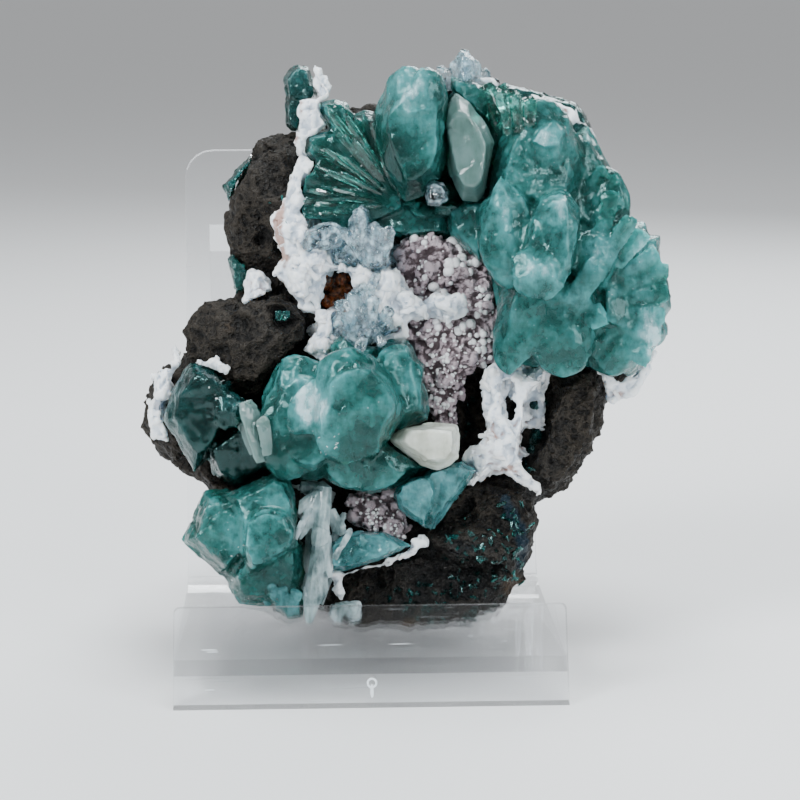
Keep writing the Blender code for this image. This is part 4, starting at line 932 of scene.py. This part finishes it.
# Crystal groups: node, voxel, rounds of smoothing, growth, look
CRYSTALS = [
    ("apophyllite_rosette", 0.66, 1, fluted(FACE_UP, 1.8, 0.12, 3.5), green),
    ("apophyllite_centre_left", 0.62, 1, blocky(7.0, 0.06, 0.08), green),
    ("apophyllite_upper_left", 0.62, 1, blocky(7.0, 0.06, 0.08), green),
    ("apophyllite_upper_left_2", 0.54, 2, blocky(3.0), green),
    ("apophyllite_bottom_left", 0.62, 1, blocky(5.0, 0.14, 0.25), green),
    ("apophyllite_left_fan", 0.58, 1, fluted(FACE_UP, 1.6, 0.35), dark),
    ("apophyllite_pale_pair", 0.50, 2, blocky(3.5), pale),
    ("apophyllite_slab", 0.50, 1, blocky(3.5), pale),
    ("apophyllite_small_clear", 0.36, 0, blocky(3.0, 0.03, 0.02, 0.02),
     (clear[0], "pale_crystal")),
    ("apophyllite_back_left", 0.54, 2, blocky(3.5), dark),
    ("apophyllite_back_ridge", 0.60, 1, blocky(3.0), dark),
    ("apophyllite_left_top", 0.48, 1, blocky(2.5), dark),
    ("apophyllite_left_low", 0.48, 1, blocky(2.5), dark),
    ("apophyllite_in_vesicle", 0.30, 2, blocky(1.5, 0.05, 0.05), dark),
    ("stilbite_blade", 0.50, 3, fluted(FACE_UP, 2.2, 0.06, 9.0), blade_stilbite),
    ("stilbite_point", 0.48, 2, fluted(FACE_SIDE, 1.2, 0.22), cream),
    ("stilbite_sheaf", 0.34, 0, fluted(FACE_UP, 1.2, 0.08), white_stilbite),
    ("stilbite_sheaf_2", 0.34, 0, fluted(FACE_UP, 1.2, 0.08), white_stilbite),
    ("apophyllite_clear_tip", 0.36, 1, blocky(2.5, 0.06, 0.1), clear),
    ("clear_crystals_upper", 0.42, 1, blocky(3.0), clear),
    ("clear_crystals_lower", 0.42, 1, blocky(3.0), clear),
    ("stilbite_hanging_bits", 0.36, 4, crusty, white_stilbite),
]


def grown(node, voxel, rounding, height):
    """A solid crystal group as a fine skin, rounded a little and shaped by its growth."""
    solid = merged_copy(node)
    tree = cast_tree(solid)
    if node in OFFSHOOTS:
        solid = written(shape_of(solid, sprigs(tree, OFFSHOOTS[node], 11, (0.30, 0.42), 0.72)))
    if node in LOBES:
        solid = written(shape_of(solid, lobes(tree, LOBES[node], 13)))
    mesh = smoothed(remeshed(solid, voxel), rounding)
    crested(mesh, 14, 0.55)
    moved(mesh, height)
    painted(mesh, "frost", FROST)
    # Painted shade at bases and in crevices
    painted(mesh, "deep", PAINTED_SHADE)
    return crisp(mesh, 34)


def skinned(name, mesh, rounds, height, crest, angle, look, replaced=(), paint=()):
    """A piece from a fine mesh: smoothed by rounds, shaped by a height and painted.

    The crest is a number of rounds and a reach, and the angle is that of hard edges.
    """
    if rounds:
        smoothed(mesh, rounds)
    if height:
        moved(mesh, height)
    crested(mesh, *crest)
    for coat in paint:
        painted(mesh, *coat)
    piece(name, crisp(mesh, angle), look, replaced)
    return mesh


skins = {}
for node, voxel, rounding, height, look in CRYSTALS:
    skins[node] = grown(node, voxel, rounding, height)
    piece(node + "_growth", skins[node], look, [node])

# The glassy fan at the upper left: tip across, tip down, width and how far the tip stands out
FAN_HUB = (404, 205)
FAN_BLADES = [
    (312, 102, 2.8, 0.8), (320, 106, 2.6, 1.6), (328, 110, 2.4, 2.2), (336, 114, 2.4, 1.4),
    (346, 118, 2.4, 2.4), (355, 120, 2.4, 1.4), (364, 118, 2.6, 1), (372, 124, 2.2, 1.8),
    (304, 124, 2.6, 0.6), (309, 134, 2.4, 1.2), (318, 128, 2.2, 2.2), (327, 126, 2.2, 2.8),
    (336, 132, 2, 3.2), (344, 136, 2, 2.8), (353, 140, 2, 3), (362, 140, 2, 2.4),
    (302, 146, 2.6, 0.8), (308, 156, 2.2, 1.6), (316, 148, 2, 2.4), (326, 150, 1.8, 3),
    (336, 154, 1.8, 3.2), (346, 158, 1.6, 3), (300, 168, 2.6, 0.8), (308, 174, 2, 1.6),
    (318, 168, 1.8, 2.2), (328, 172, 1.8, 2.6), (338, 172, 1.6, 2.8), (300, 186, 2.4, 0.6),
    (310, 190, 2, 1.4), (320, 186, 1.8, 2), (332, 188, 1.6, 2.4), (304, 202, 2.4, 0.8),
    (316, 204, 1.8, 1.2), (328, 200, 1.6, 1.8), (342, 198, 1.6, 2), (318, 214, 2, 0.8),
    (334, 212, 1.8, 1), (350, 210, 1.6, 1.2), (376, 140, 2, 2), (382, 160, 1.8, 1.6),
]
fan = fan_blades(cast_tree(skins["apophyllite_upper_left"]), FAN_HUB, FAN_BLADES, seed=3)
# Painted highlights: the crest value is raised in two spots where the fan shows glints, which
# lightens its colour there.
painted(fan, "crest", [(320, 118, 22, 14, 0.35), (345, 150, 14, 10, 0.3)], 0.45)
piece("glassy_fan_blades", crisp(fan, 20), clear_green)

# Clear crystals: foot across and down, tip across and down, width, how far the tip stands out
TIP_SPRIGS = [
    (466, 92, 463, 50, 5, 0.6), (474, 94, 474, 60, 4.4, 1), (459, 90, 455, 60, 4, 0.8),
    (482, 94, 484, 68, 4.4, 0.6), (470, 96, 478, 76, 3.6, 1.4), (452, 88, 447, 68, 3.6, 0.3),
    (490, 98, 495, 78, 4, 0.4), (446, 88, 440, 66, 3.2, 0.2), (463, 94, 468, 78, 3, 1.4),
    (484, 98, 490, 84, 3.2, 0.8),
]
tip_tree = cast_tree(skins["apophyllite_clear_tip"], skins["apophyllite_rosette"],
                     nodes["basalt_matrix"].data, nodes["stilbite_blade"].data)
skinned("clear_tip_crystals", remeshed(sprigs(tip_tree, TIP_SPRIGS, 5, (0.5, 0.8), 0.6), 0.3), 1,
        None, (8, 0.4), 34, clear)

# Pink-tan stain on the thin edges of the chalcedony
STAIN = [
    (280, 235, 6, 24, 0.8), (264, 385, 10, 16, 0.8), (300, 345, 10, 6, 0.5),
    (560, 108, 40, 8, 0.45), (336, 290, 14, 14, 0.6), (255, 285, 10, 10, 0.4),
    (620, 395, 12, 8, 0.4), (320, 70, 5, 14, 0.4), (540, 490, 14, 6, 0.8), (345, 575, 30, 6, 0.5),
    (300, 105, 4, 12, 0.8), (295, 135, 4, 14, 0.9), (289, 170, 4, 16, 0.9), (281, 200, 4, 14, 0.9),
    (276, 225, 4, 14, 0.9), (284, 258, 5, 10, 0.8), (490, 440, 12, 22, 0.45),
    (522, 440, 8, 18, 0.45), (505, 470, 16, 7, 0.6), (400, 560, 20, 5, 0.7), (425, 545, 8, 8, 0.5),
    (150, 390, 6, 16, 0.5),
]
# Hollows in the crust at the right: across, down, radius
CRUST_HOLLOWS = [
    (510, 402, 3), (512, 416, 3), (508, 390, 2.4), (528, 366, 1.6), (540, 400, 3.8),
    (538, 414, 4.4), (537, 430, 4.6), (534, 446, 4.6), (528, 462, 3.6), (478, 398, 2.4),
    (474, 414, 2.4), (546, 388, 3), (550, 420, 4), (544, 452, 4), (498, 356, 1.6),
]
whites = []
for node in [name for name in nodes if name.startswith("chalcedony")]:
    solid = merged_copy(node)
    if node == "chalcedony_right":
        solid = hollowed(solid, CRUST_HOLLOWS)
    whites.append(skinned(node + "_crust", remeshed(solid, 0.5), 2, crusty, (10, 0.6), 44,
                          chalcedony, [node], [("stain", STAIN)]))

# Beads: across, down, how far they spread, how many, radius
DRUSE_BEADS = [
    (432, 290, 26, 50, 0.4), (458, 345, 20, 50, 0.38), (448, 388, 14, 40, 0.38),
    (412, 238, 7, 9, 1.1), (424, 236, 8, 8, 0.8), (458, 245, 7, 7, 1.2), (455, 262, 6, 8, 1.5),
    (466, 262, 6, 10, 1), (440, 300, 9, 9, 1.4), (450, 312, 8, 10, 1.2), (436, 322, 10, 12, 0.9),
    (405, 290, 5, 12, 0.9), (412, 300, 6, 10, 1.1), (470, 330, 9, 16, 1), (484, 340, 7, 12, 0.9),
    (482, 310, 8, 10, 0.8), (424, 268, 10, 10, 0.6), (476, 300, 8, 10, 0.8), (440, 350, 8, 12, 0.6),
    (430, 372, 8, 14, 0.5), (452, 376, 9, 12, 0.6), (488, 362, 5, 8, 0.9), (440, 405, 8, 16, 0.7),
]
DRUSE_LOW_BEADS = [
    (372, 510, 14, 40, 0.45), (395, 525, 8, 16, 0.5),
]
for node, rows in (("druse_middle", DRUSE_BEADS), ("druse_low", DRUSE_LOW_BEADS)):
    skin = skinned(node + "_crust", remeshed(merged_copy(node), 0.46), 1, drusy, (8, 0.5), 40,
                   druse, [node])
    piece(node + "_beads", crisp(bead_cluster(cast_tree(skin), rows, seed=7), 60), beads)

# The blue-green film, the rust and the dim places on the rock
FILM = [
    (505, 500, 7, 9, 0.9), (512, 515, 7, 9, 1), (520, 530, 7, 10, 1), (524, 546, 7, 10, 1),
    (520, 562, 7, 9, 0.8), (462, 548, 26, 14, 0.4), (470, 585, 30, 12, 0.3), (281, 315, 8, 8, 0.7),
    (548, 445, 9, 26, 0.3), (430, 612, 30, 8, 0.3),
]
RUST = [
    (515, 585, 14, 12, 0.8), (408, 626, 26, 6, 0.6), (336, 292, 10, 12, 0.9),
    (230, 330, 20, 14, 0.2),
]
DIM = [
    (450, 580, 80, 50, 0.9), (530, 470, 30, 50, 0.5), (265, 330, 40, 30, 0.3),
    (270, 170, 30, 30, 0.3),
]
rock = smoothed(remeshed(merged_copy("basalt_matrix"), 0.92), 1)
kept_off(rock, "stand_bent_sheet", ROCK_ROOM)
moved(rock, rocky)
kept_off(rock, "stand_bent_sheet", ROCK_GAP)
skinned("basalt_rock", rock, 0, None, (8, 1.0), 50, basalt, ["basalt_matrix"],
        [("film", FILM), ("rust", RUST), ("dim", DIM)])

# White crust that closes the middle: across, down, radius
CENTRE_WHITE = [
    (286, 230, 3), (300, 236, 3.4), (316, 232, 3.6), (334, 236, 3.4), (350, 240, 3.2),
    (366, 232, 3), (384, 240, 3), (396, 262, 3.2), (388, 280, 3.4), (380, 300, 3.2),
    (370, 318, 3.2), (356, 334, 3), (340, 344, 3), (322, 346, 2.8), (312, 330, 2.6),
    (322, 316, 2.4), (350, 262, 3), (336, 258, 2.6), (318, 256, 3), (304, 262, 3.2),
    (296, 276, 2.8), (360, 282, 2.8), (346, 322, 2.8), (404, 300, 2.8), (398, 320, 2.4),
    (300, 292, 2.4), (308, 306, 2.2), (376, 262, 3), (364, 300, 2.8), (336, 332, 2.6),
]
near_white = [nodes[name].data for name in nodes
              if name.startswith(("chalcedony_centre", "chalcedony_upper"))]
white = skinned("chalcedony_middle_crust",
                crust_patch(cast_tree(rock, *near_white), CENTRE_WHITE, 0.5), 2, crusty, (10, 0.6),
                60, chalcedony, (), [("stain", STAIN)])

# Green that fills the hollow under the barrel: across, down, radius
MIDDLE_GREEN = [
    (372, 214, 6), (386, 218, 6), (398, 218, 6.4), (412, 222, 6.6), (426, 226, 6.6),
    (440, 228, 6.4), (455, 228, 6.4), (470, 226, 6.4), (484, 230, 6), (448, 208, 6.4),
    (449, 192, 5.6), (449, 176, 5.2), (448, 160, 4.8), (470, 206, 6.2), (484, 208, 5.6),
    (492, 190, 5), (492, 172, 5), (492, 154, 4.6), (488, 136, 4.2), (446, 120, 4), (447, 140, 4.4),
    (456, 100, 3.6), (438, 205, 6), (500, 210, 5.6), (420, 212, 6),
]
# Rounded crystals in the same hollow
MIDDLE_LOBES = [
    (430, 216, 20, 12, 10, 8, 8), (456, 214, 20, 14, -10, 8, 8), (480, 212, 22, 16, -20, 8, 8),
    (468, 228, 26, 14, 0, 8, 8), (448, 208, 24, 11, 0, 17, 12), (470, 204, 16, 9, 0, 16, 12),
    (424, 212, 18, 9, 0, 15, 12), (500, 206, 14, 24, -14, 7, 8), (408, 218, 16, 10, 10, 7, 7),
    (446, 192, 13, 14, 0, 15, 12), (414, 205, 16, 9, 8, 15, 12), (484, 200, 12, 11, 0, 14, 12),
]
on_rock = cast_tree(rock)
filling = written(shape_of(crust_patch(on_rock, MIDDLE_GREEN, 0.6),
                           lobes(on_rock, MIDDLE_LOBES, seed=17)))
# The deep coat is painted shade at bases and in crevices, and over the whole hollow under the
# barrel
hollow = skinned("apophyllite_middle", remeshed(filling, 0.6), 1, blocky(3.0), (12, 0.6), 34,
                 green, (), [("frost", FROST), ("deep", PAINTED_SHADE, 0.3)])

# The glassy green patch beside the crust at the right
RIGHT_LOBES = [
    (536, 404, 9, 16, 8, 2.6, 3.5), (540, 422, 7, 18, 4, 2, 3.5), (534, 446, 8, 26, 14, 1.6, 3),
    (526, 466, 7, 14, 30, 1.4, 3), (528, 398, 6, 8, -30, 2.6, 3),
]
skinned("right_green_patch", remeshed(lobes(on_rock, RIGHT_LOBES, seed=19), 0.45), 1,
        blocky(2.5, 0.14, 0.2), (8, 0.5), 34, dark)

# The amber pocket in the white crust: across, down, radius
POCKET = [
    (328, 282, 2.4), (334, 292, 2.6), (330, 302, 2.2), (341, 280, 2.2), (346, 288, 2),
    (338, 300, 2.2),
]
skinned("amber_pocket", crust_patch(on_rock, POCKET, 0.35), 1, drusy, (8, 0.5), 40, amber)

# Chips, and white slivers that stand in for glints as painted highlights: across, down, spread
# across, spread down, how many, length
TEAL_CHIPS = [
    (470, 545, 20, 14, 34, 2.2), (500, 560, 14, 18, 26, 2.4), (450, 590, 30, 10, 40, 2),
    (520, 520, 8, 20, 18, 2.6), (480, 612, 24, 6, 18, 2.2), (412, 600, 12, 8, 10, 2),
    (468, 420, 4, 18, 8, 2.4),
]
GREEN_CHIPS = [
    (500, 580, 20, 10, 14, 2.2), (460, 625, 14, 4, 8, 2.2), (540, 395, 5, 6, 8, 2.2),
    (425, 610, 6, 4, 4, 2.6), (286, 205, 8, 12, 8, 1.6),
]
WHITE_SHARDS = [
    (300, 262, 14, 16, 12, 3), (350, 262, 30, 14, 10, 3), (330, 330, 12, 12, 8, 3),
    (390, 300, 22, 14, 10, 3), (490, 380, 8, 30, 14, 3.4), (528, 382, 12, 6, 10, 3.6),
    (495, 455, 16, 14, 12, 3.4), (215, 366, 8, 4, 4, 2.6), (560, 108, 26, 8, 8, 2.4),
    (618, 392, 12, 8, 6, 2.6),
]
# White slivers put where glints show: painted glints
GLINT_SLIVERS = [
    (338, 112, 4, 5, 6, 0.6), (350, 142, 4, 7, 8, 0.6), (364, 164, 4, 6, 6, 0.5),
    (328, 447, 7, 7, 12, 0.5), (240, 575, 6, 16, 10, 0.5), (216, 385, 6, 10, 8, 0.5),
]
on_front = cast_tree(rock, white, *skins.values())
on_white = cast_tree(*whites, white)
for name, tree, rows, look, seed in (
        ("teal_chips", on_front, TEAL_CHIPS, dark, 31),
        ("green_chips", on_front, GREEN_CHIPS, green, 37),
        ("white_glint_slivers", on_front, GLINT_SLIVERS, beads, 41),
        ("chalcedony_shards", on_white, WHITE_SHARDS, chalcedony, 43)):
    made = crisp(chips(tree, rows, seed), 20)
    if look == chalcedony:
        crested(made, 4, 0.6)
    piece(name, made, look)

# Clear, white and green crystals one by one: foot across and down, tip across and down, width,
# how far the tip stands in front of the foot
CENTRE_SPRIGS = [
    (372, 262, 356, 208, 4.6, 3), (366, 262, 346, 232, 4, 3.5), (380, 262, 374, 222, 4.4, 3.5),
    (384, 258, 390, 226, 4, 3), (360, 268, 336, 256, 3.6, 3), (392, 268, 398, 244, 3.6, 2.5),
    (378, 275, 366, 296, 3.6, 3), (356, 330, 338, 300, 4.4, 3.5), (362, 328, 352, 292, 4.2, 4),
    (370, 326, 374, 296, 4.2, 3.5), (378, 326, 392, 308, 3.8, 3), (362, 320, 346, 318, 3.4, 4),
    (366, 332, 358, 350, 3.6, 3), (374, 332, 384, 346, 3.6, 2.5), (352, 326, 334, 322, 3.4, 3),
    (364, 312, 362, 282, 3.4, 4.5), (352, 240, 330, 226, 3.4, 2), (346, 242, 318, 246, 3.6, 2),
]
SHEAF_BLADES = [
    (300, 622, 320, 520, 4.6, 1.5), (308, 618, 332, 540, 3.6, 1), (304, 600, 312, 508, 3, 2),
    (296, 536, 311, 506, 2.4, 2), (322, 540, 294, 506, 2.4, 1.6), (330, 500, 292, 486, 2.8, 1.6),
    (332, 494, 306, 478, 2.8, 1.2), (318, 560, 330, 494, 3, 1.8), (330, 550, 344, 512, 2.8, 1.2),
    (336, 556, 352, 528, 2.4, 0.8), (322, 600, 338, 556, 2.8, 1), (312, 620, 326, 588, 2.8, 0.8),
    (326, 520, 318, 484, 2.6, 1.6), (314, 590, 300, 540, 2.4, 1.4),
]
BOTTOM_BITS = [
    (270, 604, 261, 588, 4.2, 1.2), (282, 606, 280, 586, 4.6, 1.8), (293, 604, 298, 590, 4, 1.4),
    (276, 598, 270, 584, 3.2, 2), (262, 612, 250, 604, 3.4, 1), (288, 614, 296, 604, 3.4, 1),
]
LEFT_PLATES = [
    (262, 456, 246, 400, 6.5, 1.2), (254, 450, 240, 412, 4.6, 1.8), (268, 452, 262, 416, 4.4, 1),
]
TOP_PRISMS = [
    (500, 130, 487, 82, 5, 0.5), (510, 130, 500, 84, 5, 0.8), (520, 128, 514, 90, 4.4, 0.5),
    (530, 124, 530, 96, 4, 0.4), (494, 122, 478, 88, 4, 0.4), (488, 118, 470, 84, 3.6, 0.4),
]
on_stone = cast_tree(rock, white, hollow, *[skins[name] for name in skins
                                            if not name.startswith("stilbite_sheaf")])
for name, rows, flatness, look in (
        ("centre_crystals", CENTRE_SPRIGS, (0.5, 0.8), clear),
        ("sheaf_blades", SHEAF_BLADES, (0.3, 0.5), white_stilbite),
        ("bottom_bits", BOTTOM_BITS, (0.5, 0.7), pale),
        ("left_plates", LEFT_PLATES, (0.3, 0.4), blade_stilbite),
        ("top_prisms", TOP_PRISMS, (0.5, 0.7), clear_green)):
    skinned(name, remeshed(sprigs(on_stone, rows, 23, flatness, 0.6), 0.34), 0,
            fluted(FACE_UP, 1.2, 0.06, 3.0), (8, 0.4), 34, look)


# The easel

# Trickle and scratches on the front panel: across, down, half width, half height in millimetres
PANEL_MARKS = [
    (372, 691, 0.45, 1.7), (209, 650, 2.2, 0.14), (212, 652, 1.6, 0.12), (210, 690, 1.3, 0.12),
    (330, 645, 3.2, 0.08), (400, 644, 3.0, 0.08), (470, 636, 0.7, 0.10), (505, 641, 0.5, 0.10),
]
BESIDE_HOLE = (380, 683)
HOLE = (372, 683)
RIM_RADIUS = 1.1
RIM_THICKNESS = 0.28
MARK_THICKNESS = 0.08


def sheet_edges(mesh):
    """Gives the narrow sides of a sheet the second material."""
    shape = shape_of(mesh)
    tree = BVHTree.FromBMesh(shape)
    for face in shape.faces:
        middle = face.calc_center_median()
        across = tree.ray_cast(middle - face.normal * 0.01 * MM, -face.normal)[3]
        face.material_index = 1 if across is None or across > SHEET_LIMIT * MM else 0
    written(shape, mesh)


def panel_marks():
    """The frosted rim of the drilled hole, the trickle below it and a few scratches."""
    place, normal = met(cast_tree(nodes["stand_front_panel"].data), *BESIDE_HOLE)
    up = normal.cross(FACE_SIDE).normalized()
    shape = bmesh.new()

    def on_panel(across, down):
        line = sight(across, down)
        return EYE + line * ((place - EYE).dot(normal) / line.dot(normal))

    for across, down, wide, tall in PANEL_MARKS:
        matrix = stance(FACE_SIDE * wide * MM, normal * MARK_THICKNESS * MM, up * tall * MM,
                        on_panel(across, down))
        bmesh.ops.create_icosphere(shape, subdivisions=3, radius=1.0, matrix=matrix)
    middle = on_panel(*HOLE)
    matrix = (Matrix.Translation(middle + FACE_SIDE * RIM_RADIUS * MM)
              @ Matrix.Rotation(radians(90), 4, "X"))
    ring = bmesh.ops.create_circle(shape, cap_ends=False, segments=12, radius=RIM_THICKNESS * MM,
                                   matrix=matrix)["verts"]
    edges = list({edge for vertex in ring for edge in vertex.link_edges})
    bmesh.ops.spin(shape, geom=edges, cent=middle, axis=normal, angle=radians(360), steps=40,
                   use_merge=True)
    return meshed(shape)


piece("panel_marks", crisp(panel_marks(), 40), frosted)
for node in ("stand_front_panel", "stand_bent_sheet", "stand_leg"):
    mesh = merged_copy(node)
    sheet_edges(mesh)
    piece(node + "_acrylic", mesh, acrylic, [node]).data.materials.append(acrylic_edge)


# The studio

def make_floor():
    finish = Finish("pale_floor")
    paint = finish.node("ShaderNodeBsdfPrincipled",
                        {"Base Color": (0.82, 0.82, 0.82), "Roughness": 0.6})
    material, _ = finish.done(paint)
    shape = bmesh.new()
    bmesh.ops.create_grid(shape, x_segments=1, y_segments=1, size=40.0)
    mesh = written(shape)
    mesh.materials.append(material)
    floor = bpy.data.objects.new("floor", mesh)
    bpy.context.scene.collection.objects.link(floor)


# Lamps: name, place in metres, width and height, power
LAMPS = [
    ("key", (-0.82, -0.58, 0.80), (0.5, 0.5), 17),
    ("fill", (0.75, -0.60, 0.45), (0.4, 0.6), 6),
    ("top", (0.05, 0.15, 1.0), (0.5, 0.5), 10),
    ("back", (0.35, 0.8, 0.6), (0.6, 0.4), 6),
    ("glint_left", (-0.42, -0.70, 0.62), (0.06, 0.06), 1.2),
    ("glint_right", (0.30, -0.70, 0.60), (0.05, 0.12), 1.2),
]
LAMP_AIM = Vector((0, 0.03, 0.08))
LAMP_COLOUR = (0.92, 0.97, 1.0)


def make_lamp(name, place, size, power):
    light = bpy.data.lights.new(name, "AREA")
    light.shape = "RECTANGLE"
    light.size, light.size_y = size
    light.energy = power
    light.color = LAMP_COLOUR
    item = bpy.data.objects.new(name, light)
    item.location = place
    item.rotation_mode = "QUATERNION"
    item.rotation_quaternion = (LAMP_AIM - Vector(place)).to_track_quat("-Z", "Y")
    bpy.context.scene.collection.objects.link(item)


def make_world():
    world = bpy.data.worlds.new("studio")
    world.use_nodes = True
    background = world.node_tree.nodes["Background"]
    background.inputs["Color"].default_value = (0.86, 0.88, 0.90, 1)
    background.inputs["Strength"].default_value = 0.55
    bpy.context.scene.world = world


def make_camera():
    camera = bpy.data.cameras.new("camera")
    camera.sensor_width = SENSOR
    camera.lens = VIEW_FOCUS * SENSOR / (2 * VIEW_MIDDLE)
    item = bpy.data.objects.new("camera", camera)
    item.matrix_world = stance(ACROSS, UPWARD, -FORWARD, EYE)
    bpy.context.scene.collection.objects.link(item)
    bpy.context.scene.camera = item


make_floor()
for lamp in LAMPS:
    make_lamp(*lamp)
make_world()
make_camera()
